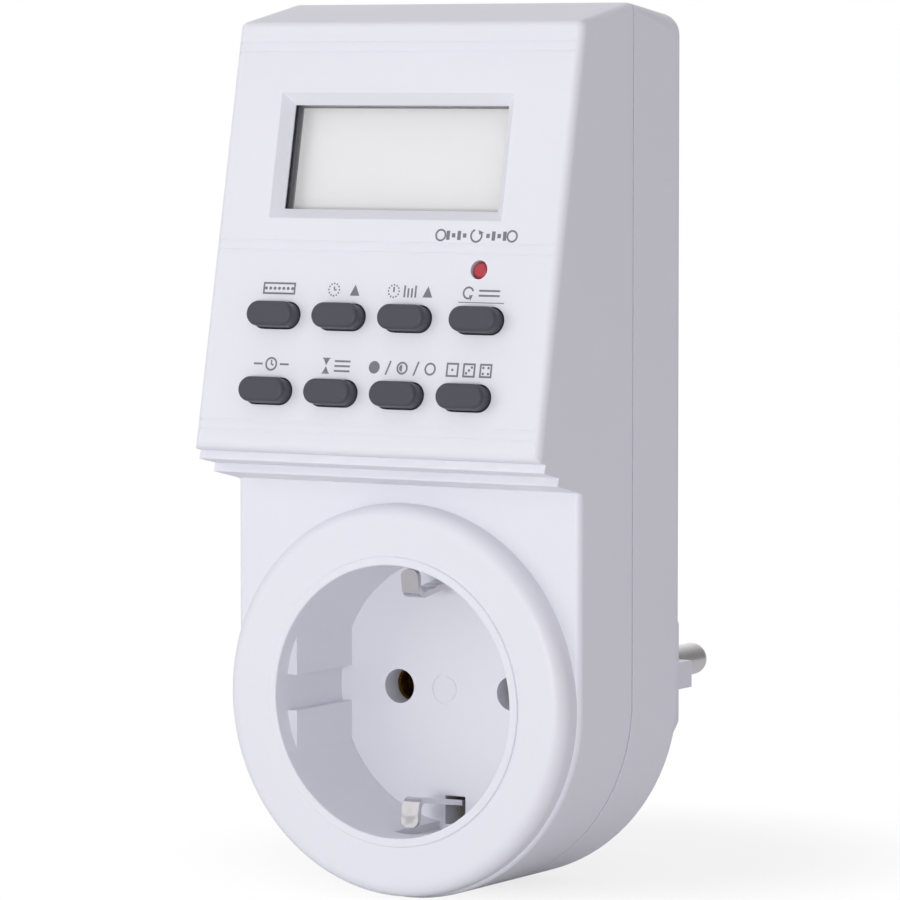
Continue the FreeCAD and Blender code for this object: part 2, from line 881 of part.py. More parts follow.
# Contact carrier: the moulded plate that holds the sleeves, the earth spring and the plug's flange
def contact_carrier():
    arm_half = carrier_arm_width / 2
    arm_reach = earth_floor_reach - earth_slot_inner_gap + earth_slot_length + carrier_arm_margin
    bore_dia = 2 * contact_top
    shroud_dia = bore_dia + 2 * carrier_shroud_wall
    shroud_end_y = carrier_back_y + carrier_shroud_length
    half_height = carrier_height / 2
    solids = [
        box(-carrier_half, carrier_half, carrier_front_y, carrier_back_y, -half_height, half_height),
        box(-arm_half, arm_half, carrier_front_y, carrier_back_y, -arm_reach, arm_reach),
    ]
    solids += [rod(shroud_dia, carrier_front_y, shroud_end_y, side * half_pins) for side in sides]
    solids += [rod(carrier_leg_dia, carrier_front_y, flange_y, side * carrier_leg_across) for side in sides]
    cuts = [rod(bore_dia, -far, far, side * half_pins) for side in sides]
    cuts += well_slots(-far, far)
    cuts += [rod(carrier_peg_dia + 2 * fitted_gap, -far, far, x, z) for x, z in carrier_posts]
    return cut_all(join(solids), cuts)


# A strip that is the same above and below the pins, from the upper half of its middle line
def mirrored_strip(upper, bend, width):
    lower = [(y, -z) for y, z in reversed(upper)]
    return strip(lower + upper, earth_thickness, bend, width)


def outlet_earth_spring():
    nose_y = boss_y + earth_nose_depth
    upper = [
        (earth_base_y, earth_floor_reach + earth_flare),
        (floor_y, earth_floor_reach),
        (nose_y, earth_nose_reach),
        (nose_y - earth_thickness / 2, earth_tab_reach),
    ]
    spring = mirrored_strip(upper, earth_bend, earth_width)
    tips = edges_where(
        spring,
        lambda b: near(abs(b.XMin), earth_width / 2)
        and near(b.XMin, b.XMax)
        and min(abs(b.ZMin), abs(b.ZMax)) > earth_tab_reach - earth_thickness,
    )
    return spring.makeFillet(earth_tip_round, tips)


def plug_earth_strap():
    upper = [
        (strap_base_y, strap_reach),
        (back_y + strap_root, strap_reach),
        (back_y / 2, strap_bulge_reach),
        (-plug_wall, strap_channel_reach + loose_gap + earth_thickness / 2),
    ]
    return mirrored_strip(upper, strap_bend, strap_width)


def earth_link():
    return rod(link_dia, earth_base_y + earth_thickness / 2, strap_base_y - earth_thickness / 2)


# Keys, the rubber mat under them, the reset button and its switch
def key(x, down):
    flange_end = key_flange_depth + key_flange_thickness
    cap = stadium(key_length, key_height, x, down, -key_proud, key_flange_depth)
    cap = cap.makeFillet(key_edge_round, edges_at_y(cap, -key_proud))
    wide = 2 * key_flange_margin
    flange = stadium(key_length + wide, key_height + wide, x, down, key_flange_depth, flange_end)
    thin = 2 * key_stem_inset
    stem = stadium(key_length - thin, key_height - thin, x, down, key_flange_depth, key_stem_end)
    return on_panel(join([cap, flange, stem]))


def key_mat():
    half = key_reach + key_length / 2 + mat_end_margin
    reach = key_height / 2 + 2 * key_flange_margin
    last_row = key_row_down + (len(key_names) - 1) * key_row_pitch
    top = control_depth - mat_thickness
    x0 = keys_across - half
    solids = [panel_box(x0, x0 + 2 * half, top, control_depth, key_row_down - reach, last_row + reach)]
    narrow = key_height / 2
    for name, x, down in key_places():
        place = V(x, dome_top, -down)
        solids.append(Part.makeCone(narrow, narrow + dome_margin, control_depth - dome_top, place, V(0, 1, 0)))
    return on_panel(join(solids))


def reset_button():
    pin = panel_rod(reset_dia, reset_across, reset_down, reset_setback, reset_stem_end)
    pin = pin.makeFillet(reset_round, edges_at_y(pin, reset_setback))
    flange_end = key_flange_depth + key_flange_thickness
    flange = panel_rod(reset_flange_dia, reset_across, reset_down, key_flange_depth, flange_end)
    return on_panel(join([pin, flange]))


def reset_switch():
    half = reset_switch_size / 2
    top = control_depth - reset_switch_height
    x0 = reset_across - half
    body = panel_box(x0, x0 + 2 * half, top, control_depth, reset_down - half, reset_down + half)
    return on_panel(body.makeChamfer(reset_switch_chamfer, edges_at_y(body, top)))


# Display: window, frame, glass cell and two rubber connectors
def display_block(width, height, depth0, depth1, shift=0.0):
    x0 = display_across - width / 2
    down = display_down + shift
    return panel_box(x0, x0 + width, depth0, depth1, down - height / 2, down + height / 2)


def display_frame():
    frame = display_block(display_frame_width, display_frame_height, display_frame_depth, control_depth)
    sight = display_block(display_opening_width, display_opening_height, 0, control_depth)
    pocket = display_block(display_pocket_width, display_pocket_height, display_glass_depth, control_depth)
    return on_panel(cut_all(frame, [sight, pocket]))


def display_window():
    depth = display_frame_depth + window_setback
    end = depth + window_thickness
    return on_panel(display_block(display_opening_width, display_opening_height, depth, end))


def display_cell():
    split = display_glass_depth + display_glass_thickness / 2
    front_height = display_glass_height - 2 * display_glass_ledge
    front = display_block(display_glass_width, front_height, display_glass_depth, split)
    back = display_block(display_glass_width, display_glass_height, split, display_glass_back)
    return on_panel(join([front, back]))


def display_connectors():
    shift = (display_glass_height - connector_width) / 2
    length = display_glass_width - 2 * connector_inset
    return Part.makeCompound([
        on_panel(display_block(length, connector_width, display_glass_back, control_depth, side * shift))
        for side in sides
    ])


# Control board and what stands on its back
def control_board():
    board = panel_box(-board_half, board_half, control_depth, control_back, control_top, control_bottom)
    hole_dia = small_screw_dia + 2 * loose_gap
    holes = [panel_rod(hole_dia, x, down, control_depth, control_back) for x, down in control_posts]
    return on_panel(cut_all(board, holes))


def control_chip():
    radius = (chip_dia ** 2 / 4 + chip_height ** 2) / (2 * chip_height)
    ball = Part.makeSphere(radius, V(chip_across, control_back + chip_height - radius, -chip_down))
    return on_panel(ball.common(panel_rod(chip_dia, chip_across, chip_down, control_back, control_back + radius)))


def watch_crystal():
    place = V(crystal_across, control_back + crystal_dia / 2, -crystal_down)
    return on_panel(Part.makeCylinder(crystal_dia / 2, crystal_length, place, V(0, 0, -1)))


def backup_battery():
    start = control_back + tab_thickness
    end = start + battery_thickness
    cell = panel_rod(battery_dia, battery_across, battery_down, start, end)
    rims = edges_at_y(cell, start) + edges_at_y(cell, end)
    return on_panel(cell.makeFillet(battery_round, rims))


def battery_tabs():
    start = control_back + tab_thickness
    end = start + battery_thickness
    outer = end + tab_thickness
    x0 = battery_across - tab_width / 2
    x1 = battery_across + tab_width / 2
    reach = battery_dia / 2 + tab_overhang
    foot = battery_down + reach
    under = panel_box(x0, x1, control_back, start, battery_down - reach, battery_down)
    over = panel_box(x0, x1, end, outer, battery_down, foot)
    leg = panel_box(x0, x1, control_back, outer, foot, foot + tab_thickness)
    return Part.makeCompound([on_panel(under), on_panel(join([over, leg]))])


def ribbon_cable():
    lift = main_bottom + ribbon_up
    points = [
        panel_point(control_back, ribbon_down),
        panel_point(control_back + ribbon_control_run, ribbon_down),
        (main_front_y - ribbon_main_run, lift),
        (main_front_y, lift),
    ]
    return strip(points, ribbon_thickness, ribbon_bend, ribbon_width)


# Main board, and solids on its face: up from its lower edge, low and high above its face
def main_board():
    board = box(-board_half, board_half, main_front_y, main_back_y, main_bottom, main_bottom + main_height)
    hole_dia = small_screw_dia + 2 * loose_gap
    return cut_all(board, [rod(hole_dia, main_front_y, main_back_y, x, z) for x, z in main_posts])


def on_board(x0, x1, low, high, up0, up1):
    return box(x0, x1, main_front_y - high, main_front_y - low, main_bottom + up0, main_bottom + up1)


def board_rod(dia, x, up, low, high):
    return rod(dia, main_front_y - high, main_front_y - low, x, main_bottom + up)


def with_leads(body, places):
    return join([body] + [board_rod(lead_dia, x, up, 0, lead_root) for x, up in places])


# Relay: cover, base, yoke with core, bobbin, winding, armature, blade and fixed contact
def relay_block(x0, x1, low, high, length):
    half = length / 2
    return on_board(relay_across + x0, relay_across + x1, low, high, relay_up - half, relay_up + half)


def relay_rod(dia, x, low, high):
    return board_rod(dia, relay_across + x, relay_up, low, high)


def relay_case(inset, low, high):
    half = relay_width / 2 - inset
    return relay_block(-half, half, low, high, relay_length - 2 * inset)


def relay_cover():
    outer = relay_case(0.0, relay_base_lip, relay_height)
    base_y = main_front_y - relay_base_lip
    rounded = edges_where(outer, lambda b: not (near(b.YMin, base_y) and near(b.YMax, base_y)))
    outer = outer.makeFillet(relay_cover_round, rounded)
    return outer.cut(relay_case(relay_wall, 0, relay_height - relay_wall))


def relay_base():
    return join([relay_case(0.0, 0, relay_base_lip), relay_case(relay_wall + fitted_gap, 0, relay_base_height)])


def relay_yoke():
    left = relay_yoke_left
    inner = left + relay_iron_thickness
    right = relay_coil_across + relay_core_dia / 2
    core = relay_rod(relay_core_dia, relay_coil_across, relay_base_height, relay_core_top)
    foot = relay_block(left, right, relay_base_height, bobbin_bottom, relay_iron_width)
    leg = relay_block(left, inner, relay_base_height, armature_bottom - relay_hinge_gap, relay_iron_width)
    return join([core, foot, leg])


def relay_bobbin():
    bore_dia = relay_core_dia + 2 * fitted_gap
    x = relay_coil_across
    tube = relay_rod(bore_dia + 2 * relay_bobbin_wall, x, bobbin_bottom, bobbin_top)
    low = relay_rod(relay_bobbin_dia, x, bobbin_bottom, bobbin_bottom + relay_bobbin_flange)
    high = relay_rod(relay_bobbin_dia, x, bobbin_top - relay_bobbin_flange, bobbin_top)
    return join([tube, low, high]).cut(relay_rod(bore_dia, x, 0, relay_height))


def relay_winding():
    tube_dia = relay_core_dia + 2 * fitted_gap + 2 * relay_bobbin_wall
    coil = relay_rod(relay_coil_dia, relay_coil_across, coil_bottom, coil_top)
    return coil.cut(relay_rod(tube_dia, relay_coil_across, 0, relay_height))


def relay_armature():
    width = relay_iron_width - 2 * relay_armature_side_gap
    return relay_block(relay_yoke_left, relay_armature_right, armature_bottom, armature_top, width)


def relay_blade():
    end = relay_contact_across + relay_contact_dia / 2
    start = relay_armature_right - relay_blade_lap
    blade_top = armature_top + relay_blade_thickness
    blade = relay_block(start, end, armature_top, blade_top, relay_blade_width)
    tip_bottom = armature_top - relay_contact_height
    return join([blade, relay_rod(relay_contact_dia, relay_contact_across, tip_bottom, armature_top)])


def relay_fixed_contact():
    tip_top = armature_top - relay_contact_height - relay_contact_opening
    arm_top = tip_top - relay_fixed_height
    start = relay_contact_across - relay_contact_dia / 2
    end = relay_contact_across + relay_contact_dia / 2
    arm = relay_block(start, end, arm_top - relay_fixed_thickness, arm_top, relay_blade_width)
    leg = relay_block(end - relay_fixed_thickness, end, relay_base_height, arm_top, relay_blade_width)
    return join([arm, leg, relay_rod(relay_contact_dia, relay_contact_across, arm_top, tip_top)])


# Components that stand on two leads
def dropper_capacitor():
    x0 = part_edge - dropper_width
    half = dropper_length / 2
    body = on_board(x0, part_edge, loose_gap, dropper_height, dropper_up - half, dropper_up + half)
    body = body.makeFillet(dropper_round, body.Edges)
    middle = part_edge - dropper_width / 2
    return with_leads(body, [(middle + side * dropper_lead_span / 2, dropper_up) for side in sides])


def can(dia, height, x, up):
    body = board_rod(dia, x, up, loose_gap, height)
    rims = edges_at_y(body, main_front_y - loose_gap) + edges_at_y(body, main_front_y - height)
    return with_leads(body.makeFillet(can_round, rims), [(x + side * dia / 4, up) for side in sides])


def smoothing_capacitors():
    large = can(large_can_dia, large_can_height, part_edge - large_can_dia / 2, large_can_up)
    small = can(small_can_dia, small_can_height, small_can_dia / 2 - part_edge, small_can_up)
    return Part.makeCompound([large, small])


def surge_disc():
    x0 = disc_across - disc_thickness / 2
    y = main_front_y - loose_gap - disc_dia / 2
    disc = cross_rod(disc_dia, x0, x0 + disc_thickness, y, main_bottom + disc_up)
    rims = edges_where(disc, lambda b: near(b.XMin, b.XMax))
    disc = disc.makeFillet(disc_round, rims)
    return with_leads(disc, [(disc_across, disc_up + side * disc_lead_span / 2) for side in sides])


# Components that lie along the board between two bent leads
def axial_part(dia, length, x, up):
    y = main_front_y - dia / 2 - loose_gap
    z = main_bottom + up
    body = cross_rod(dia, x - length / 2, x + length / 2, y, z)
    body = body.makeFillet(dia / 8, edges_where(body, lambda b: near(b.XMin, b.XMax)))
    reach = length / 2 + axial_lead_reach
    lead = cross_rod(lead_dia, x - reach, x + reach, y, z)
    legs = [rod(lead_dia, y, main_front_y, x + side * reach, z) for side in sides]
    return join([body, lead] + legs)


def axial_row(dia, length, x, up):
    return Part.makeCompound([axial_part(dia, length, x, up + i * axial_pitch) for i in range(axial_count)])


def rectifier_diodes():
    return axial_row(diode_dia, diode_length, diode_across, diode_up)


def board_resistors():
    return axial_row(resistor_dia, resistor_length, resistor_across, resistor_up)


def fuse():
    return axial_part(fuse_dia, fuse_length, fuse_across, fuse_up)


# Wires between the plug, the contacts and the main board
wire_front_y = main_front_y - wire_dia / 2
wire_end_z = main_bottom + wire_landing


def live_wire():
    tail_y = collar_y - pin_tail_length / 2
    start_z = pin_dia / 2
    turn_z = start_z + live_wire_lift
    high_z = turn_z + live_wire_slope
    x = live_wire_shift - half_pins
    return wire([
        (-half_pins, tail_y, start_z),
        (-half_pins, tail_y, turn_z),
        (x, tail_y - live_wire_lift, high_z),
        (x, wire_front_y, high_z),
        (x, wire_front_y, wire_end_z),
    ])


def neutral_wire():
    y = neutral_strip_y + (wire_dia + neutral_wire_gap) / 2
    return wire([(half_pins, y, contact_top), (half_pins, y, main_bottom - loose_gap)])


def load_wire():
    y = strip_y + contact_strip_width / 2
    return wire([
        (-half_pins, y, contact_top),
        (-half_pins, y, contact_top + load_wire_root),
        (-half_pins, wire_front_y, main_bottom - load_wire_lift),
        (-half_pins, wire_front_y, wire_end_z),
    ])


# Screws with a cross recess: the shank runs from the seat one way and the head the other
def screw(x, z, seat_y, way, dia, head_dia, head_height, length):
    head_y = seat_y - way * head_height
    recess_y = head_y + way * head_height * cross_depth_share
    tip_y = seat_y + way * length
    shank = rod(dia, min(seat_y, tip_y), max(seat_y, tip_y), x, z)
    head = rod(head_dia, min(seat_y, head_y), max(seat_y, head_y), x, z)
    long = head_dia * cross_reach_share
    short = cross_width / 2
    y0 = min(head_y, recess_y)
    y1 = max(head_y, recess_y)
    bars = [box(x - w, x + w, y0, y1, z - h, z + h) for w, h in ((long, short), (short, long))]
    return cut_all(join([shank, head]), bars)


def housing_screws():
    size = (screw_dia, screw_head_dia, screw_head_height, screw_length)
    return Part.makeCompound([screw(x, z, screw_seat_y, -1, *size) for x, z in screw_places])


small_screw = (small_screw_dia, small_head_dia, small_head_height, small_screw_length)


def main_board_screws():
    return Part.makeCompound([screw(x, z, main_front_y, 1, *small_screw) for x, z in main_posts])


def control_board_screws():
    screws = [screw(x, -down, control_back, -1, *small_screw) for x, down in control_posts]
    return Part.makeCompound([on_panel(each) for each in screws])


# Every piece goes to a file with its own name
def save(name, shape):
    state = "valid" if shape.isValid() else "not valid"
    print(name, state, len(shape.Solids), "solids", round(shape.Volume, 3))
    shape.exportStep("parts/" + name + ".step")


single_parts = (
    front_shell,
    rear_shell,
    plug_body,
    plug_earth_strap,
    earth_link,
    outlet_earth_spring,
    live_contact,
    neutral_contact,
    contact_carrier,
    display_window,
    display_frame,
    display_cell,
    display_connectors,
    control_board,
    control_chip,
    watch_crystal,
    backup_battery,
    battery_tabs,
    key_mat,
    reset_button,
    reset_switch,
    ribbon_cable,
    main_board,
    relay_base,
    relay_cover,
    relay_yoke,
    relay_bobbin,
    relay_winding,
    relay_armature,
    relay_blade,
    relay_fixed_contact,
    dropper_capacitor,
    smoothing_capacitors,
    surge_disc,
    rectifier_diodes,
    board_resistors,
    fuse,
    live_wire,
    neutral_wire,
    load_wire,
    housing_screws,
    main_board_screws,
    control_board_screws,
)

os.makedirs("parts", exist_ok=True)
for make in single_parts:
    save(make.__name__, make())
for name, side in (("plug_pin_left", -1), ("plug_pin_right", 1)):
    save(name, plug_pin(side))
for name, x, down in key_places():
    save(name, key(x, down))
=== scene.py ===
import json
import math

import bmesh
import bpy
from mathutils import Matrix, Vector

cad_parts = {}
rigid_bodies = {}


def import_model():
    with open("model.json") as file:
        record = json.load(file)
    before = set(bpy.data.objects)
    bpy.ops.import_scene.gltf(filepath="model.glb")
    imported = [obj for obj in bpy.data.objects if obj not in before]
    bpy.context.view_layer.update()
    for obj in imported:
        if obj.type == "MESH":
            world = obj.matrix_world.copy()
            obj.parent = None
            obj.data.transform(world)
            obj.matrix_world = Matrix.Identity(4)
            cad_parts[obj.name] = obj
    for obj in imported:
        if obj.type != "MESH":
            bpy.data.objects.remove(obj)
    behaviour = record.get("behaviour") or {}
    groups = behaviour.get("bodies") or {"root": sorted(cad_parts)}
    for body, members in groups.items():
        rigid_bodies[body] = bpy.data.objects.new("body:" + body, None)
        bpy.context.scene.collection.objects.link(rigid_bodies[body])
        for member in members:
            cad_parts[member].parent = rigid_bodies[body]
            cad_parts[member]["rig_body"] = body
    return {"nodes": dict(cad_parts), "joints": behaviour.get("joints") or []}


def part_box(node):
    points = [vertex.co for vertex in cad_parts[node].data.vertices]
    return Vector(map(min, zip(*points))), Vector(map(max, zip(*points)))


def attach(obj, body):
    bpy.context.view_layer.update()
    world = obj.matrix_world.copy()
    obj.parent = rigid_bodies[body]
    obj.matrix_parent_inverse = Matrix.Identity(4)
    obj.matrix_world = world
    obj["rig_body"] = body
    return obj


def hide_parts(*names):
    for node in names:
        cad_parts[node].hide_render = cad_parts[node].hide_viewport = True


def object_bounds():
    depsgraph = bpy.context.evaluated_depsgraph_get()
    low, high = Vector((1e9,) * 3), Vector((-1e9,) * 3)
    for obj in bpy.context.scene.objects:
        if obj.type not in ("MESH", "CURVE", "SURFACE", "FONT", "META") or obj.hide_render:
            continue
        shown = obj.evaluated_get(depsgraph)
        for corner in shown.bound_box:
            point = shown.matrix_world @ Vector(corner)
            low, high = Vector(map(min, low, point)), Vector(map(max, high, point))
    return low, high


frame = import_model()
cad_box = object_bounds()
MM = 0.001


# Front shell: one moulding with the sloping panel, the lower face, the round boss and the outlet
# well. It is white ABS from a steel mould with a fine spark-eroded face, which gives a soft satin
# shine and a grain too fine to see from a step away, so it is drawn three times as coarse.
SHELL_WHITE = "#EBECF2"
SHELL_SHADE = "#E7E8EE"
SHELL_GRAIN = 0.18 * MM
SHELL_RELIEF = 0.0016 * MM
FLOW_MARKS = 24 * MM
SHINE_SPREAD = 0.04
WELD = 0.002 * MM
ONE_PLANE_WITHIN = math.radians(0.2)
CREASE = math.radians(32)


def linear(code):
    channels = []
    for start in (1, 3, 5):
        value = int(code[start:start + 2], 16) / 255
        channels.append(value / 12.92 if value <= 0.04045 else ((value + 0.055) / 1.055) ** 2.4)
    return (*channels, 1.0)


def add(tree, kind, inputs, **settings):
    made = tree.nodes.new(kind)
    for name, value in settings.items():
        setattr(made, name, value)
    for name, value in inputs.items():
        if isinstance(value, bpy.types.NodeSocket):
            tree.links.new(value, made.inputs[name])
        else:
            made.inputs[name].default_value = value
    return made


def surface(name, colour, **values):
    made = bpy.data.materials.new(name)
    made.use_nodes = True
    shader = made.node_tree.nodes["Principled BSDF"]
    shader.inputs["Base Color"].default_value = linear(colour)
    for socket, value in values.items():
        shader.inputs[socket.replace("_", " ")].default_value = value
    return made, made.node_tree, shader


# Slow patches in which the colour and the shine drift a little together
def mottled(tree, shader, place, patch, detail, colour, shade, roughness):
    patches = add(tree, "ShaderNodeTexNoise", {
        "Vector": place, "Scale": 1 / patch, "Detail": detail,
    })
    tint = add(tree, "ShaderNodeMix", {
        0: patches.outputs[0], 6: linear(colour), 7: linear(shade),
    }, data_type="RGBA")
    tree.links.new(tint.outputs[2], shader.inputs["Base Color"])
    shine = add(tree, "ShaderNodeMapRange", {
        "Value": patches.outputs[0],
        "To Min": roughness - SHINE_SPREAD, "To Max": roughness + SHINE_SPREAD,
    })
    tree.links.new(shine.outputs["Result"], shader.inputs["Roughness"])


def moulded(name, colour, shade, roughness, grain, relief):
    made, tree, shader = surface(name, colour)
    place = add(tree, "ShaderNodeTexCoord", {}).outputs["Object"]
    mottled(tree, shader, place, FLOW_MARKS, 3.0, colour, shade, roughness)
    fine = add(tree, "ShaderNodeTexNoise", {"Vector": place, "Scale": 1 / grain, "Detail": 2.0})
    bump = add(tree, "ShaderNodeBump", {
        "Height": fine.outputs[0], "Distance": relief, "Strength": 1.0,
    })
    tree.links.new(bump.outputs["Normal"], shader.inputs["Normal"])
    return made


# The wider flat wins at an edge, so that flats stay flat and only the rounding between them shades.
def even_shading(work, mesh):
    same_plane = math.cos(ONE_PLANE_WITHIN)
    smooth = math.cos(CREASE)
    area = {}
    for face in work.faces:
        if face in area:
            continue
        area[face] = 0.0
        plane = [face]
        for member in plane:
            for edge in member.edges:
                for other in edge.link_faces:
                    if other not in area and other.normal.dot(face.normal) > same_plane:
                        area[other] = 0.0
                        plane.append(other)
        total = sum(member.calc_area() for member in plane)
        for member in plane:
            area[member] = total
    normals = []
    for face in work.faces:
        for corner in face.verts:
            near = [other for other in corner.link_faces if other.normal.dot(face.normal) > smooth]
            lean = sum((other.normal * area[other] for other in near), Vector())
            normals.append(lean.normalized())
    work.to_mesh(mesh)
    mesh.shade_smooth()
    mesh.normals_split_custom_set(normals)


def finished(node, look):
    source = frame["nodes"][node]
    mesh = source.data.copy()
    work = bmesh.new()
    work.from_mesh(mesh)
    bmesh.ops.remove_doubles(work, verts=work.verts, dist=WELD)
    even_shading(work, mesh)
    work.free()
    mesh.materials.clear()
    mesh.materials.append(look)
    piece = bpy.data.objects.new(node + "_finished", mesh)
    bpy.context.scene.collection.objects.link(piece)
    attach(piece, source["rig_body"])
    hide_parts(node)
    return piece


white_abs = moulded(
    "white_abs_satin", SHELL_WHITE, SHELL_SHADE,
    roughness=0.42, grain=SHELL_GRAIN, relief=SHELL_RELIEF)
finished("front_shell", white_abs)


# Rear shell: the back half of the housing in the same white ABS, with posts for the boards inside.
# It is held by four screws from behind and meets the front shell at a fine shadow gap.
finished("rear_shell", white_abs)


# Plug: a round white body with two turned brass pins in satin nickel, which blurs what it mirrors
# round the pin. The earth strap in the channels above and below the pins and the outlet's earth
# spring in the well are rolled steel in bright nickel, which mirrors in long, wavy streaks.
PIN_NICKEL = "#DEDCDC"
STRAP_NICKEL = "#D6D4D6"
LINE_CONTRAST = 0.3
SHEET_WAVE = 1.6 * MM
SPRING_WAVINESS = 0.12 * MM
ACROSS_A_SHEET = (1.0, 0.06, 0.06)
ROUND_A_PIN = (0.1, 1.0, 0.1)


def plated(name, colour, roughness, spacing, relief, along, waviness=0.0):
    made, tree, shader = surface(name, colour, Metallic=1.0)
    place = add(tree, "ShaderNodeTexCoord", {}).outputs["Object"]
    stretch = add(tree, "ShaderNodeMapping", {"Vector": place, "Scale": along})
    lines = add(tree, "ShaderNodeTexNoise", {
        "Vector": stretch.outputs["Vector"], "Scale": 1 / spacing, "Detail": 4.0,
    })
    shine = add(tree, "ShaderNodeMapRange", {
        "Value": lines.outputs[0],
        "To Min": roughness * (1 - LINE_CONTRAST), "To Max": roughness * (1 + LINE_CONTRAST),
    })
    tree.links.new(shine.outputs["Result"], shader.inputs["Roughness"])
    swell = add(tree, "ShaderNodeTexNoise", {
        "Vector": place, "Scale": 1 / SHEET_WAVE, "Detail": 0.0,
    })
    waves = add(tree, "ShaderNodeBump", {
        "Height": swell.outputs[0], "Distance": waviness, "Strength": 1.0,
    })
    bump = add(tree, "ShaderNodeBump", {
        "Height": lines.outputs[0], "Distance": relief, "Strength": 1.0,
        "Normal": waves.outputs["Normal"],
    })
    tree.links.new(bump.outputs["Normal"], shader.inputs["Normal"])
    return made


plug_white = moulded(
    "white_plug_body", SHELL_WHITE, SHELL_SHADE,
    roughness=0.34, grain=SHELL_GRAIN, relief=SHELL_RELIEF)
turned_nickel = plated(
    "turned_brass_satin_nickel", PIN_NICKEL,
    roughness=0.3, spacing=0.2 * MM, relief=0.002 * MM, along=ROUND_A_PIN)
sprung_nickel = plated(
    "rolled_steel_bright_nickel", STRAP_NICKEL,
    roughness=0.14, spacing=0.3 * MM, relief=0.001 * MM, along=ACROSS_A_SHEET,
    waviness=SPRING_WAVINESS)
finished("plug_body", plug_white)
for node in ("plug_pin_left", "plug_pin_right"):
    finished(node, turned_nickel)
for node in ("plug_earth_strap", "outlet_earth_spring"):
    finished(node, sprung_nickel)


# Outlet contacts: slotted sleeves of stamped brass with faint press lines, held behind the well in
# a carrier of moulded natural nylon, which looks milky. The link that joins the outlet's earth
# spring to the plug's earth strap is brass too.
BRASS = "#C9A45C"
NYLON = "#E4E1D6"
NYLON_SHADE = "#DAD6C9"

stamped_brass = plated(
    "stamped_brass", BRASS, roughness=0.28, spacing=0.25 * MM, relief=0.001 * MM, along=ROUND_A_PIN)
natural_nylon = moulded(
    "natural_nylon", NYLON, NYLON_SHADE, roughness=0.45, grain=0.2 * MM, relief=0.002 * MM)
for node in ("live_contact", "neutral_contact", "earth_link"):
    finished(node, stamped_brass)
finished("contact_carrier", natural_nylon)


# Display: a grey twisted-nematic cell behind a clear acrylic window, in a dark moulded frame, with
# two strips of layered rubber that join the cell to the board. The foil behind the cell gives it a
# faint speckle, and the window's polish is a little hazy in patches.
CELL_GREY = "#E4E4E3"
CELL_SHADE = "#E0E1DF"
FRAME_DARK = "#3E3E49"
FRAME_SHADE = "#383842"
RUBBER_GREY = "#8C8D90"
RUBBER_SHADE = "#808184"
ACRYLIC_IOR = 1.49
HAZE_PATCH = 3 * MM
POLISH = (0.01, 0.035)

dark_abs = moulded(
    "dark_abs_frame", FRAME_DARK, FRAME_SHADE, roughness=0.4, grain=0.2 * MM, relief=0.002 * MM)
foil_cell = moulded(
    "polarised_cell_over_foil", CELL_GREY, CELL_SHADE,
    roughness=0.3, grain=0.12 * MM, relief=0.0001 * MM)
clear_acrylic, tree, shader = surface("clear_moulded_acrylic", "#FFFFFF", IOR=ACRYLIC_IOR)
shader.inputs["Transmission Weight"].default_value = 1.0
place = add(tree, "ShaderNodeTexCoord", {}).outputs["Object"]
haze = add(tree, "ShaderNodeTexNoise", {"Vector": place, "Scale": 1 / HAZE_PATCH, "Detail": 2.0})
polish = add(tree, "ShaderNodeMapRange", {
    "Value": haze.outputs[0], "To Min": POLISH[0], "To Max": POLISH[1],
})
tree.links.new(polish.outputs["Result"], shader.inputs["Roughness"])
path = add(tree, "ShaderNodeLightPath", {})
lighting = add(tree, "ShaderNodeMath", {
    0: path.outputs["Is Shadow Ray"], 1: path.outputs["Is Diffuse Ray"],
}, operation="MAXIMUM")
open_to_light = add(tree, "ShaderNodeBsdfTransparent", {})
mixed = add(tree, "ShaderNodeMixShader", {
    0: lighting.outputs[0], 1: shader.outputs["BSDF"], 2: open_to_light.outputs["BSDF"],
})
tree.links.new(mixed.outputs["Shader"], tree.nodes["Material Output"].inputs["Surface"])
silicone = moulded(
    "grey_silicone", RUBBER_GREY, RUBBER_SHADE, roughness=0.6, grain=0.3 * MM, relief=0.002 * MM)
finished("display_window", clear_acrylic)
finished("display_frame", dark_abs)
finished("display_cell", foil_cell)
finished("display_connectors", silicone)


# Keys: eight charcoal keys of moulded ABS with a fine matt face, each free to slide into the panel.
# Under them lies one mat of moulded silicone with a dome for each key, dull and a little waxy.
KEY_CHARCOAL = "#474851"
KEY_SHADE = "#42434B"
TOP_ROW = ("day_key", "hour_key", "minute_key", "recall_key")
LOWER_ROW = ("clock_key", "program_key", "mode_key", "shuffle_key")

charcoal_abs = moulded(
    "charcoal_abs_matt", KEY_CHARCOAL, KEY_SHADE,
    roughness=0.5, grain=0.16 * MM, relief=0.003 * MM)
for node in TOP_ROW + LOWER_ROW:
    finished(node, charcoal_abs)
finished("key_mat", silicone)


# Legends: a small sign over each key, pad-printed on the panel in grey ink, with a longer one over
# the reset button. Ink of this kind lies a few hundredths of a millimetre thick and dries matt.
# The outlines are in millimetres from the middle of each sign.
INK_GREY = "#74757D"
INK_SHADE = "#808189"
INK_PROUD = 0.02 * MM
INK_SUNK = 0.02 * MM
INK_SPECKS = 0.35 * MM
INK_RELIEF = 0.004 * MM
OUTLINE_WELD = 1e-4
STROKE = 0.27
SIGN_HEIGHT = 2.0
SIGN_RISE = 3.9 * MM
RESET_SIGN_RISE = 4.8 * MM
RESET_SIGN_SHIFT = -1.0 * MM
KEY_PROUD = 2.3 * MM
DIAL_RADIUS = 0.88
HOUR_DIAL = -1.7
MINUTE_DIAL = -2.7
WEEK_PITCH = 0.74
ARROW_HEAD = 50

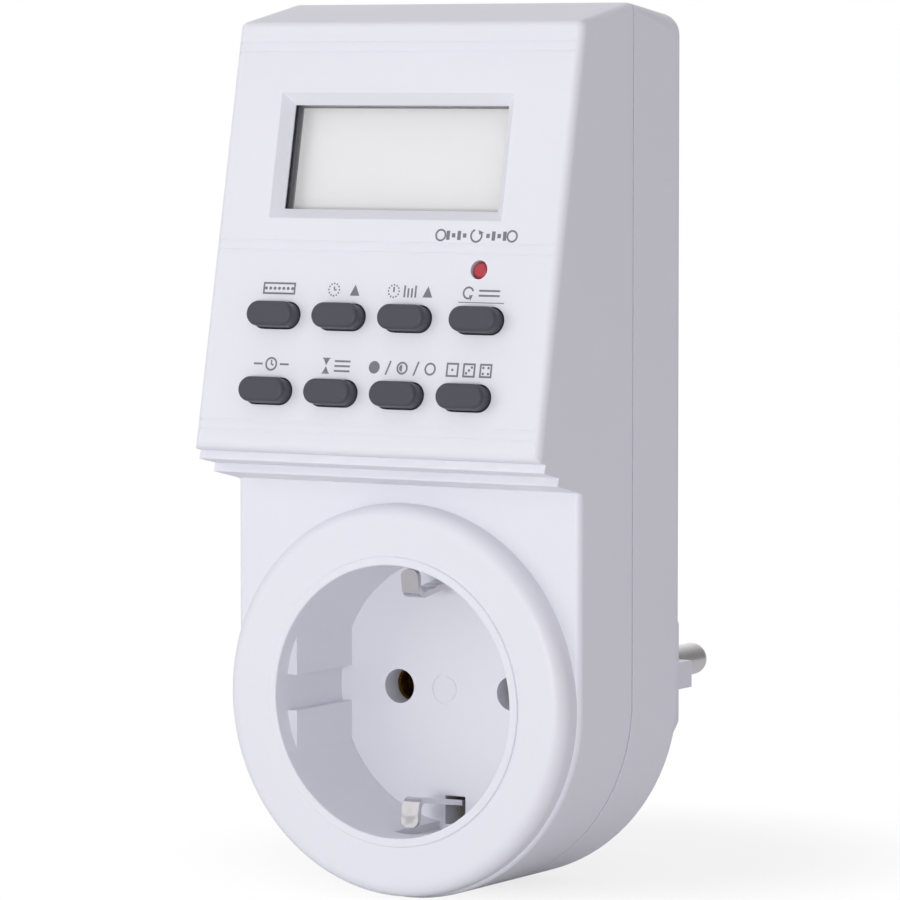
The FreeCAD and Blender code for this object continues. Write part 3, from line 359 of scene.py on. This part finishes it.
press = next(joint for joint in frame["joints"] if joint["name"] == "day_key_press")
inward = Vector(press["axis"])
across = Vector((1.0, 0.0, 0.0))
up = across.cross(inward)
panel_depth = min(v.co @ inward for v in frame["nodes"]["day_key"].data.vertices) + KEY_PROUD


def middle_of(node):
    points = [v.co for v in frame["nodes"][node].data.vertices]
    ends = [[p @ way for p in points] for way in (across, up)]
    return [(min(values) + max(values)) / 2 for values in ends]


def sign_place(node):
    x, height = middle_of(node)
    if node == "reset_button":
        return x + RESET_SIGN_SHIFT, height + RESET_SIGN_RISE
    return x, height + SIGN_RISE


def on_panel(x, height, out):
    return across * x + up * height + inward * (panel_depth - out)


def arc(x, y, radius, start, end, sides=24):
    angles = [math.radians(start + (end - start) * i / sides) for i in range(sides + 1)]
    return [(x + radius * math.cos(a), y + radius * math.sin(a)) for a in angles]


def disc(x, y, radius):
    return arc(x, y, radius, 0, 360)[:-1]


def ring(x, y, radius):
    return [disc(x, y, radius), disc(x, y, radius - STROKE)]


def block(x, y, width, height, lean=0.0):
    w = width / 2
    h = height / 2
    return [
        (x - w - lean, y - h), (x + w - lean, y - h), (x + w + lean, y + h), (x - w + lean, y + h),
    ]


def box_line(x, y, width, height):
    inner = block(x, y, width - 2 * STROKE, height - 2 * STROKE)
    return [block(x, y, width, height), inner]


def rising_arrow(x, y, size):
    half = size / 2
    return [(x - half, y - half), (x + half, y - half), (x, y + half)]


def falling_arrow(x, y, size):
    return [(px, 2 * y - py) for px, py in rising_arrow(x, y, size)]


# Two hands of a dial in one outline, each given by its angle from the top and its length. Where they
# meet, a corner lies a hair outside, so that no two corners fall together.
def two_hands(x, y, first, second):
    points = []
    for angle, length in (first, second):
        way = Vector((math.sin(math.radians(angle)), math.cos(math.radians(angle))))
        side = Vector((way.y, -way.x)) * STROKE / 2
        for tip in (way * length - side, way * length + side, side * 1.01):
            points.append((x + tip.x, y + tip.y))
    return points


def turning_arrow(x, y, radius, start, end):
    def at(distance, angle):
        turn = math.radians(angle)
        return (x + distance * math.cos(turn), y + distance * math.sin(turn))

    head = [
        at(radius + STROKE, end), at(radius - STROKE / 2, end + ARROW_HEAD),
        at(radius - 2 * STROKE, end),
    ]
    inner = arc(x, y, radius - STROKE, start, end)
    return arc(x, y, radius, start, end) + head + inner[::-1]


def die(x):
    return box_line(x, 0, SIGN_HEIGHT, SIGN_HEIGHT)


signs = {
    "day_key": box_line(0, 0, 7 * WEEK_PITCH + STROKE, SIGN_HEIGHT - STROKE),
    "hour_key": [two_hands(HOUR_DIAL, 0, (0, 0.42), (90, 0.38)), rising_arrow(1.8, 0, 1.6)],
    "minute_key": [
        two_hands(MINUTE_DIAL, 0, (0, 0.6), (180, 0.14)), rising_arrow(2.9, 0, 1.6),
        *[block(-0.9 + 0.6 * i, 0, STROKE, 1.7) for i in (0, 3)],
        *[block(-0.9 + 0.6 * i, -0.2, STROKE, 1.3) for i in (1, 2)],
    ],
    "recall_key": [
        turning_arrow(-2.2, 0, 0.92, 20, 290),
        *[block(1.2, 0.35 * i, 3.4, STROKE) for i in (1, -1)],
        block(0, -SIGN_HEIGHT / 2 - 0.35, 7.4, 0.12),
    ],
    "clock_key": [
        *ring(0, 0, SIGN_HEIGHT / 2), two_hands(0, 0, (0, 0.6), (110, 0.42)),
        *[block(2.2 * side, 0, 1.5, STROKE) for side in (-1, 1)],
    ],
    "program_key": [
        falling_arrow(-1.7, 0.5, 0.92), rising_arrow(-1.7, -0.5, 0.92),
        *[block(-1.7, 1.06 * i, 1.2, 0.16) for i in (1, -1)],
        *[block(1.0, 0.7 * i, 2.6, STROKE) for i in (-1, 0, 1)],
    ],
    "mode_key": [
        disc(-4.6, 0, 0.9), *ring(0, 0, 0.92), arc(0, 0, 0.5, 90, 270, 12), *ring(4.6, 0, 0.92),
        *[block(2.3 * side, 0, STROKE, SIGN_HEIGHT, lean=0.35) for side in (-1, 1)],
    ],
    "shuffle_key": [*die(-2.7), *die(0), *die(2.7)],
    "reset_button": [
        turning_arrow(0, 0, 1.0, 110, 380), *ring(-5.8, 0, 0.9), *ring(5.8, 0, 0.9),
        *[
            block(side * (1.9 + 0.9 * i), 0, 0.55, 1.3 if i % 2 else 0.6)
            for side in (-1, 1) for i in range(4)
        ],
    ],
}

ink, tree, shader = surface("grey_pad_printing_ink", INK_GREY, Roughness=0.62)
place = add(tree, "ShaderNodeTexCoord", {}).outputs["Object"]
cover = add(tree, "ShaderNodeTexNoise", {"Vector": place, "Scale": 1 / INK_SPECKS, "Detail": 3.0})
worn = add(tree, "ShaderNodeMix", {
    0: cover.outputs[0], 6: linear(INK_GREY), 7: linear(INK_SHADE),
}, data_type="RGBA")
tree.links.new(worn.outputs[2], shader.inputs["Base Color"])
bump = add(tree, "ShaderNodeBump", {
    "Height": cover.outputs[0], "Distance": INK_RELIEF, "Strength": 1.0,
})
tree.links.new(bump.outputs["Normal"], shader.inputs["Normal"])

for node, outlines in signs.items():
    outline = bpy.data.curves.new(node + "_sign", "CURVE")
    outline.dimensions = "2D"
    outline.fill_mode = "BOTH"
    outline.extrude = (INK_PROUD + INK_SUNK) / 2 / MM
    for points in outlines:
        run = outline.splines.new("POLY")
        run.points.add(len(points) - 1)
        for corner, (x, y) in zip(run.points, points):
            corner.co = (x, y, 0.0, 1.0)
        run.use_cyclic_u = True
    sign = bpy.data.objects.new(node + "_sign", outline)
    bpy.context.scene.collection.objects.link(sign)
    shown = sign.evaluated_get(bpy.context.evaluated_depsgraph_get())
    mesh = bpy.data.meshes.new_from_object(shown)
    bpy.data.objects.remove(sign)
    place = on_panel(*sign_place(node), (INK_PROUD - INK_SUNK) / 2)
    turn = Matrix((across, up, -inward)).transposed() * MM
    work = bmesh.new()
    work.from_mesh(mesh)
    bmesh.ops.remove_doubles(work, verts=work.verts, dist=OUTLINE_WELD)
    bmesh.ops.transform(work, matrix=Matrix.Translation(place) @ turn.to_4x4(), verts=work.verts)
    bmesh.ops.recalc_face_normals(work, faces=work.faces)
    work.to_mesh(mesh)
    work.free()
    mesh.materials.clear()
    mesh.materials.append(ink)
    sign = bpy.data.objects.new(node + "_sign", mesh)
    bpy.context.scene.collection.objects.link(sign)
    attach(sign, "housing")

# The printed dots repeat one small disc: seven for the week, the hours of two dials and the pips.
DICE_PIPS = {
    -2.7: ((0, 0),), 0: ((-1, -1), (0, 0), (1, 1)), 2.7: ((-1, -1), (1, -1), (-1, 1), (1, 1)),
}
PIP_REACH = 0.42
DOT_SIDES = 14


def new_tree(name, sizes):
    tree = bpy.data.node_groups.new(name, "GeometryNodeTree")
    tree.is_modifier = True
    tree.interface.new_socket("Geometry", in_out="INPUT", socket_type="NodeSocketGeometry")
    for size, kind in sizes.items():
        tree.interface.new_socket(size, in_out="INPUT", socket_type="NodeSocket" + kind)
    tree.interface.new_socket("Geometry", in_out="OUTPUT", socket_type="NodeSocketGeometry")
    return tree, tree.nodes.new("NodeGroupInput").outputs


def grown(name, points, tree, look, sizes):
    mesh = bpy.data.meshes.new(name)
    mesh.from_pydata(points, [], [])
    piece = bpy.data.objects.new(name, mesh)
    bpy.context.scene.collection.objects.link(piece)
    run = piece.modifiers.new(tree.name, "NODES")
    run.node_group = tree
    for socket in tree.interface.items_tree:
        if socket.in_out == "INPUT" and socket.name in sizes:
            run[socket.identifier] = sizes[socket.name]
    shown = piece.evaluated_get(bpy.context.evaluated_depsgraph_get())
    piece.data = bpy.data.meshes.new_from_object(shown)
    piece.modifiers.clear()
    piece.data.materials.clear()
    piece.data.materials.append(look)
    return piece


tree, given = new_tree("printed_dots", {
    "Dot Radius": "Float", "Ink Height": "Float", "Turn": "Vector", "Ink": "Material",
})
dot = add(tree, "GeometryNodeMeshCylinder", {
    "Vertices": DOT_SIDES, "Radius": given["Dot Radius"], "Depth": given["Ink Height"],
})
spread = add(tree, "GeometryNodeInstanceOnPoints", {
    "Points": given["Geometry"], "Instance": dot.outputs["Mesh"], "Rotation": given["Turn"],
})
solid = add(tree, "GeometryNodeRealizeInstances", {"Geometry": spread.outputs["Instances"]})
inked = add(tree, "GeometryNodeSetMaterial", {
    "Geometry": solid.outputs["Geometry"], "Material": given["Ink"],
})
add(tree, "NodeGroupOutput", {"Geometry": inked.outputs["Geometry"]})

dots = {
    "week_dots": (0.24, [("day_key", (i - 3) * WEEK_PITCH, 0.0) for i in range(7)]),
    "dial_dots": (0.13, [
        (node, dot_x, dot_y)
        for node, x in (("hour_key", HOUR_DIAL), ("minute_key", MINUTE_DIAL))
        for dot_x, dot_y in arc(x, 0, DIAL_RADIUS, 0, 360, sides=12)[:-1]
    ]),
    "dice_pips": (0.19, [
        ("shuffle_key", x + PIP_REACH * i, PIP_REACH * j)
        for x, pips in DICE_PIPS.items() for i, j in pips
    ]),
}
for name, (radius, places) in dots.items():
    points = []
    for node, x, y in places:
        sign_x, sign_height = sign_place(node)
        points.append(on_panel(sign_x + x * MM, sign_height + y * MM, (INK_PROUD - INK_SUNK) / 2))
    piece = grown(name, points, tree, ink, {
        "Dot Radius": radius * MM, "Ink Height": INK_PROUD + INK_SUNK,
        "Turn": (-inward).to_track_quat("Z", "Y").to_euler(), "Ink": ink,
    })
    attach(piece, "housing")


# Reset button: a small red pin of moulded glossy plastic, sunk in its hole, over a tact switch on
# the board, whose black case has the dull sheen of glass-filled nylon.
RESET_RED = "#BC3343"
RESET_SHADE = "#B12E3D"
BLACK = "#2A2A2C"
BLACK_SHADE = "#242426"

red_plastic = moulded(
    "red_plastic", RESET_RED, RESET_SHADE, roughness=0.3, grain=0.2 * MM, relief=0.001 * MM)
black_plastic = moulded(
    "black_plastic", BLACK, BLACK_SHADE, roughness=0.4, grain=0.2 * MM, relief=0.002 * MM)
finished("reset_button", red_plastic)
finished("reset_switch", black_plastic)


# Control board: pressed glass-fibre laminate under green solder mask, whose cloth shows as a faint
# weave. It carries a chip under a glossy cap of poured epoxy, a watch crystal in a drawn steel can
# and a button cell between two nickel tabs. A ribbed flat cable runs from it to the main board.
MASK_GREEN = "#1F5E3A"
MASK_SHADE = "#1A5434"
EPOXY_BLACK = "#1D1D1F"
EPOXY_SHADE = "#232326"
CAN_STEEL = "#BFC1C3"
CABLE_GREY = "#A2A3A8"
CABLE_SHADE = "#999A9F"
GLASS_CLOTH = 0.6 * MM
CORE_PITCH = 1.27 * MM
BLOTCH = 6 * MM
CLOTH_RELIEF = 0.01 * MM
WAVE_AT_SCALE_1 = 0.314


def laminate(name, colour, shade, roughness, weave):
    made, tree, shader = surface(name, colour)
    place = add(tree, "ShaderNodeTexCoord", {}).outputs["Object"]
    mottled(tree, shader, place, BLOTCH, 4.0, colour, shade, roughness)
    rows = [
        add(tree, "ShaderNodeTexWave", {
            "Vector": place, "Scale": WAVE_AT_SCALE_1 / weave,
        }, bands_direction=way).outputs[1]
        for way in ("X", "Z")
    ]
    cloth = add(tree, "ShaderNodeMath", {0: rows[0], 1: rows[1]}, operation="MULTIPLY")
    bump = add(tree, "ShaderNodeBump", {
        "Height": cloth.outputs[0], "Distance": CLOTH_RELIEF, "Strength": 0.6,
    })
    tree.links.new(bump.outputs["Normal"], shader.inputs["Normal"])
    return made


masked_board = laminate(
    "glass_epoxy_green_mask", MASK_GREEN, MASK_SHADE, roughness=0.3, weave=GLASS_CLOTH)
poured_epoxy = moulded(
    "poured_epoxy", EPOXY_BLACK, EPOXY_SHADE, roughness=0.28, grain=1.5 * MM, relief=0.02 * MM)
drawn_steel = plated(
    "drawn_steel_can", CAN_STEEL,
    roughness=0.24, spacing=0.2 * MM, relief=0.001 * MM, along=ROUND_A_PIN)
flat_cable = laminate(
    "flat_cable_grey_pvc", CABLE_GREY, CABLE_SHADE, roughness=0.45, weave=CORE_PITCH)
finished("control_board", masked_board)
finished("control_chip", poured_epoxy)
for node in ("watch_crystal", "backup_battery"):
    finished(node, drawn_steel)
finished("battery_tabs", sprung_nickel)
finished("ribbon_cable", flat_cable)


# Main board: pressed phenolic paper, brown and blotchy, screwed upright to the rear shell. It
# carries the relay and the dropper supply that feeds the control board.
BOARD_BROWN = "#A87B45"
BOARD_SHADE = "#9B703E"
PAPER_GRAIN = 1.1 * MM

paper_board = laminate(
    "phenolic_paper_board", BOARD_BROWN, BOARD_SHADE, roughness=0.46, weave=PAPER_GRAIN)
finished("main_board", paper_board)


# Relay: a glossy moulded blue cover over a black base. Inside, a coil of enamelled copper wire on a
# nylon bobbin pulls an armature of pressed iron, dull grey with zinc, which carries the brass blade
# with the moving contact.
COVER_BLUE = "#2B4C92"
COVER_SHADE = "#264689"
IRON = "#9FA0A4"
COPPER = "#B2633C"
WINDING_TURNS = 19
WIRE_RADIUS = 0.16 * MM
STEPS_A_TURN = 28
WIRE_SIDES = 8

blue_cover = moulded(
    "blue_relay_cover", COVER_BLUE, COVER_SHADE,
    roughness=0.26, grain=0.3 * MM, relief=0.002 * MM)
zinc_iron = plated(
    "zinc_plated_iron", IRON,
    roughness=0.36, spacing=0.2 * MM, relief=0.001 * MM, along=ACROSS_A_SHEET)
enamelled_wire = plated(
    "enamelled_copper_wire", COPPER,
    roughness=0.24, spacing=0.4 * MM, relief=0.0005 * MM, along=ACROSS_A_SHEET)
finished("relay_base", black_plastic)
finished("relay_cover", blue_cover)
finished("relay_yoke", zinc_iron)
finished("relay_armature", zinc_iron)
finished("relay_bobbin", natural_nylon)
finished("relay_blade", stamped_brass)
finished("relay_fixed_contact", stamped_brass)
finished("relay_winding", enamelled_wire)

tree, given = new_tree("wound_wire", {
    "Turns": "Float", "Coil Radius": "Float", "Coil Length": "Float", "Wire Radius": "Float",
    "Place": "Vector", "Turn": "Vector", "Wire": "Material",
})
helix = add(tree, "GeometryNodeCurveSpiral", {
    "Resolution": STEPS_A_TURN, "Rotations": given["Turns"], "Start Radius": given["Coil Radius"],
    "End Radius": given["Coil Radius"], "Height": given["Coil Length"],
})
section = add(tree, "GeometryNodeCurvePrimitiveCircle", {
    "Resolution": WIRE_SIDES, "Radius": given["Wire Radius"],
})
wound = add(tree, "GeometryNodeCurveToMesh", {
    "Curve": helix.outputs["Curve"], "Profile Curve": section.outputs["Curve"], "Fill Caps": True,
})
placed = add(tree, "GeometryNodeTransform", {
    "Geometry": wound.outputs["Mesh"], "Translation": given["Place"], "Rotation": given["Turn"],
})
solid = add(tree, "GeometryNodeRealizeInstances", {"Geometry": placed.outputs["Geometry"]})
coated = add(tree, "GeometryNodeSetMaterial", {
    "Geometry": solid.outputs["Geometry"], "Material": given["Wire"],
})
add(tree, "NodeGroupOutput", {"Geometry": coated.outputs["Geometry"]})

low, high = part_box("relay_winding")
turns = grown("relay_winding_turns", [(0.0, 0.0, 0.0)], tree, enamelled_wire, {
    "Turns": float(WINDING_TURNS), "Coil Radius": (high.x - low.x) / 2 - WIRE_RADIUS,
    "Coil Length": high.y - low.y - 2 * WIRE_RADIUS, "Wire Radius": WIRE_RADIUS,
    "Place": ((low.x + high.x) / 2, high.y - WIRE_RADIUS, (low.z + high.z) / 2),
    "Turn": (math.radians(90), 0.0, 0.0), "Wire": enamelled_wire,
})
for face in turns.data.polygons:
    face.use_smooth = True
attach(turns, "housing")


# Supply parts on the main board: a boxed film capacitor and a dipped surge disc, two electrolytic
# capacitors in dark sleeves with bare aluminium tops, four moulded diodes and four dipped resistors
# with plain colour bands, and a ceramic fuse between nickel caps.
FILM_YELLOW = "#D3A33C"
FILM_SHADE = "#C99A34"
DISC_BLUE = "#35599B"
DISC_SHADE = "#2F5190"
SLEEVE_DARK = "#232A3C"
ALUMINIUM = "#D6D7D9"
TINNED = "#C9CACC"
CAN_TOP_NORMAL_Y = -0.95
DIODE_BODY = 5.0 * MM
RESISTOR_BODY = 6.4 * MM
FUSE_BODY = 9.0 * MM

finished("dropper_capacitor", moulded(
    "boxed_film_yellow", FILM_YELLOW, FILM_SHADE,
    roughness=0.32, grain=0.5 * MM, relief=0.003 * MM))
finished("surge_disc", moulded(
    "dipped_blue_lacquer", DISC_BLUE, DISC_SHADE, roughness=0.3, grain=0.9 * MM, relief=0.02 * MM))

sleeve, tree, shader = surface("shrink_sleeve_and_aluminium", SLEEVE_DARK, Roughness=0.3)
normal = add(tree, "ShaderNodeNewGeometry", {}).outputs["Normal"]
facing = add(tree, "ShaderNodeSeparateXYZ", {0: normal})
top = add(tree, "ShaderNodeMath", {
    0: facing.outputs["Y"], 1: CAN_TOP_NORMAL_Y,
}, operation="LESS_THAN")
bare = add(tree, "ShaderNodeMix", {
    0: top.outputs[0], 6: linear(SLEEVE_DARK), 7: linear(ALUMINIUM),
}, data_type="RGBA")
tree.links.new(bare.outputs[2], shader.inputs["Base Color"])
tree.links.new(top.outputs[0], shader.inputs["Metallic"])
finished("smoothing_capacitors", sleeve)


def banded(name, node, body, bands, roughness):
    low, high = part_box(node)
    middle = (low.x + high.x) / 2
    made, tree, shader = surface(name, bands[0][1], Roughness=roughness)
    place = add(tree, "ShaderNodeTexCoord", {}).outputs["Object"]
    along = add(tree, "ShaderNodeSeparateXYZ", {0: place})
    share = add(tree, "ShaderNodeMapRange", {
        "Value": along.outputs["X"],
        "From Min": middle - body / 2, "From Max": middle + body / 2,
    })
    paint = add(tree, "ShaderNodeValToRGB", {0: share.outputs["Result"]})
    paint.color_ramp.interpolation = "CONSTANT"
    paint.color_ramp.elements[0].color = linear(bands[0][1])
    paint.color_ramp.elements[1].position = bands[1][0]
    paint.color_ramp.elements[1].color = linear(bands[1][1])
    for start, colour in bands[2:]:
        paint.color_ramp.elements.new(start).color = linear(colour)
    off = add(tree, "ShaderNodeMath", {0: along.outputs["X"], 1: middle}, operation="SUBTRACT")
    out = add(tree, "ShaderNodeMath", {0: off.outputs[0]}, operation="ABSOLUTE")
    lead = add(tree, "ShaderNodeMath", {
        0: out.outputs[0], 1: body / 2,
    }, operation="GREATER_THAN")
    colour = add(tree, "ShaderNodeMix", {
        0: lead.outputs[0], 6: paint.outputs["Color"], 7: linear(TINNED),
    }, data_type="RGBA")
    tree.links.new(colour.outputs[2], shader.inputs["Base Color"])
    tree.links.new(lead.outputs[0], shader.inputs["Metallic"])
    return made


# Each band starts at its share of the body's length.
RESISTOR_TAN = "#C9A578"
RESISTOR_BANDS = (
    (0.0, RESISTOR_TAN), (0.16, "#6B3B20"), (0.26, RESISTOR_TAN), (0.36, "#20201F"),
    (0.46, RESISTOR_TAN), (0.56, "#C26A2A"), (0.66, RESISTOR_TAN), (0.78, "#A9853F"),
    (0.86, RESISTOR_TAN),
)
DIODE_BANDS = ((0.0, "#26262A"), (0.74, "#B9BABD"), (0.86, "#26262A"))
FUSE_BANDS = ((0.0, "#C4C5C8"), (0.18, "#E2DED2"), (0.82, "#C4C5C8"))
for node, name, body, bands, roughness in (
    ("board_resistors", "dipped_resistor_tan", RESISTOR_BODY, RESISTOR_BANDS, 0.38),
    ("rectifier_diodes", "moulded_diode_black", DIODE_BODY, DIODE_BANDS, 0.34),
    ("fuse", "ceramic_fuse", FUSE_BODY, FUSE_BANDS, 0.4),
):
    finished(node, banded(name, node, body, bands, roughness))


# Wires: stranded copper in extruded soft PVC with a waxy sheen, brown from the live pin, blue from
# the neutral one and black from the relay to the outlet.
for node, colour, shade in (
    ("live_wire", "#6B3F25", "#613820"),
    ("neutral_wire", "#2C57A8", "#274F9B"),
    ("load_wire", "#29292C", "#222225"),
):
    finished(node, moulded(
        node + "_pvc", colour, shade, roughness=0.4, grain=0.5 * MM, relief=0.004 * MM))


# Screws: pan-head steel screws with a cross recess, zinc plated, which is bright with a grey cast.
# Four hold the housing together from the back, and smaller ones hold the two boards.
ZINC = "#B8BABD"

zinc_steel = plated(
    "zinc_plated_steel", ZINC,
    roughness=0.3, spacing=0.15 * MM, relief=0.001 * MM, along=ROUND_A_PIN)
for node in ("housing_screws", "main_board_screws", "control_board_screws"):
    finished(node, zinc_steel)


# Camera: at the photograph's place, fitted to the outlines of the panel, the boss and the well.
CAMERA_TARGET = Vector((3.63, -44.5, 35.44)) * MM
CAMERA_DISTANCE = 755.3 * MM
CAMERA_AZIMUTH = math.radians(31.15)
CAMERA_ELEVATION = math.radians(4.05)
CAMERA_LENS = 211.4

back = Vector((
    math.sin(CAMERA_AZIMUTH) * math.cos(CAMERA_ELEVATION),
    -math.cos(CAMERA_AZIMUTH) * math.cos(CAMERA_ELEVATION),
    math.sin(CAMERA_ELEVATION),
))
lens = bpy.data.cameras.new("camera")
lens.lens = CAMERA_LENS
lens.sensor_width = 36.0
lens.clip_start = 0.01
lens.clip_end = 50.0
camera = bpy.data.objects.new("camera", lens)
camera.location = CAMERA_TARGET + back * CAMERA_DISTANCE
camera.rotation_mode = "QUATERNION"
camera.rotation_quaternion = (-back).to_track_quat("-Z", "Y")
bpy.context.scene.collection.objects.link(camera)
bpy.context.scene.camera = camera


# Studio: a pale floor and a white surround with a faint violet cast, and four soft lamps. Both are
# white to a ray straight from the camera, and the floor keeps the shadow near the object. To a
# mirrored ray the surround darkens away from the front left, which gives metal its dark edges.
WHITE = (1.0, 1.0, 1.0, 1.0)
SURROUND = 0.51
SURROUND_TINT = (1.0, 0.966, 1.04, 1.0)
BRIGHT_SIDE = -0.45
DARK_SIDE = 0.25
DARKENING = (0.06, 0.8)
KEY_POWER = 1.75
LOW_POWER = 1.35
TOP_POWER = 0.34
REAR_POWER = 1.1
FLOOR_HALF = 4.0
FLOOR_GAP = 0.02 * MM
FLOOR_FADE = (26 * MM, 66 * MM)
FLOOR_NEAR = 0.78

floor_z = cad_box[0].z - FLOOR_GAP
ends = ((-1, -1), (1, -1), (1, 1), (-1, 1))
corners = [(x * FLOOR_HALF, y * FLOOR_HALF, floor_z) for x, y in ends]
floor_mesh = bpy.data.meshes.new("floor")
floor_mesh.from_pydata(corners, [], [(0, 1, 2, 3)])
floor = bpy.data.objects.new("floor", floor_mesh)
bpy.context.scene.collection.objects.link(floor)


# One for a camera ray, or one of the rays named, that no dull surface has scattered on its way
def seen_by(tree, rays):
    path = add(tree, "ShaderNodeLightPath", {})
    level = path.outputs["Is Camera Ray"]
    for ray in rays:
        level = add(tree, "ShaderNodeMath", {
            0: level, 1: path.outputs[ray],
        }, operation="MAXIMUM").outputs[0]
    direct = add(tree, "ShaderNodeMath", {
        0: path.outputs["Diffuse Depth"], 1: 0.5,
    }, operation="LESS_THAN").outputs[0]
    return add(tree, "ShaderNodeMath", {0: level, 1: direct}, operation="MULTIPLY").outputs[0]


pale, tree, shader = surface("pale_floor", "#F4F4F4", Roughness=0.9)
shader.inputs["Specular IOR Level"].default_value = 0.0
place = add(tree, "ShaderNodeTexCoord", {}).outputs["Object"]
flat = add(tree, "ShaderNodeVectorMath", {0: place, 1: (1.0, 1.0, 0.0)}, operation="MULTIPLY")
away = add(tree, "ShaderNodeVectorMath", {0: flat.outputs[0]}, operation="LENGTH")
fade = add(tree, "ShaderNodeMapRange", {
    "Value": away.outputs["Value"], "From Min": FLOOR_FADE[0], "From Max": FLOOR_FADE[1],
    "To Min": FLOOR_NEAR, "To Max": 1.0,
}, interpolation_type="SMOOTHSTEP")
seen = seen_by(tree, ["Is Transmission Ray"])
amount = add(tree, "ShaderNodeMath", {0: fade.outputs["Result"], 1: seen}, operation="MULTIPLY")
white = add(tree, "ShaderNodeEmission", {"Color": WHITE, "Strength": 1.0})
mixed = add(tree, "ShaderNodeMixShader", {
    0: amount.outputs[0], 1: shader.outputs["BSDF"], 2: white.outputs["Emission"],
})
# From below the floor is clear, so that a view from there shows the object.
underside = add(tree, "ShaderNodeNewGeometry", {}).outputs["Backfacing"]
open_below = add(tree, "ShaderNodeBsdfTransparent", {})
one_sided = add(tree, "ShaderNodeMixShader", {
    0: underside, 1: mixed.outputs["Shader"], 2: open_below.outputs["BSDF"],
})
tree.links.new(one_sided.outputs["Shader"], tree.nodes["Material Output"].inputs["Surface"])
floor_mesh.materials.append(pale)

world = bpy.data.worlds.new("surround")
bpy.context.scene.world = world
world.use_nodes = True
tree = world.node_tree
seen = seen_by(tree, ["Is Glossy Ray", "Is Transmission Ray"])
place = add(tree, "ShaderNodeTexCoord", {}).outputs["Generated"]
sides = add(tree, "ShaderNodeSeparateXYZ", {0: place})
off = add(tree, "ShaderNodeMath", {0: sides.outputs["X"], 1: BRIGHT_SIDE}, operation="SUBTRACT")
away = add(tree, "ShaderNodeMath", {0: off.outputs[0]}, operation="ABSOLUTE")
dimming = add(tree, "ShaderNodeMapRange", {
    "Value": away.outputs[0], "From Min": DARKENING[0], "From Max": DARKENING[1],
    "To Min": 0.0, "To Max": 1.0 - DARK_SIDE,
})
mirrored = add(tree, "ShaderNodeLightPath", {}).outputs["Is Glossy Ray"]
darker = add(tree, "ShaderNodeMath", {
    0: dimming.outputs["Result"], 1: mirrored,
}, operation="MULTIPLY")
bright = add(tree, "ShaderNodeMath", {0: 1.0, 1: darker.outputs[0]}, operation="SUBTRACT")
level = add(tree, "ShaderNodeMapRange", {
    "Value": seen, "To Min": SURROUND, "To Max": bright.outputs[0],
})
tone = add(tree, "ShaderNodeMix", {0: seen, 6: SURROUND_TINT, 7: WHITE}, data_type="RGBA")
ground = tree.nodes["Background"]
tree.links.new(tone.outputs[2], ground.inputs["Color"])
tree.links.new(level.outputs["Result"], ground.inputs["Strength"])


def lamp(name, towards, distance, size, power):
    light = bpy.data.lights.new(name, "AREA")
    light.shape = "DISK"
    light.size = size
    light.energy = power
    made = bpy.data.objects.new(name, light)
    made.visible_camera = False
    direction = Vector(towards).normalized()
    made.location = CAMERA_TARGET + direction * distance
    made.rotation_mode = "QUATERNION"
    made.rotation_quaternion = (-direction).to_track_quat("-Z", "Y")
    bpy.context.scene.collection.objects.link(made)
    return made


key = lamp("front_left_lamp", (-0.8, -1.0, 0.25), distance=0.9, size=0.7, power=KEY_POWER)
lamp("low_front_lamp", (0.2, -1.0, 0.0), distance=0.7, size=0.12, power=LOW_POWER)
lamp("overhead_lamp", (0.0, -0.2, 1.0), distance=0.9, size=0.8, power=TOP_POWER)
rear = lamp("rear_lamp", (-0.3, 1.0, 0.4), distance=0.9, size=0.6, power=REAR_POWER)
for light in (key, rear):
    light.visible_glossy = False

bpy.context.scene.view_settings.view_transform = "Standard"
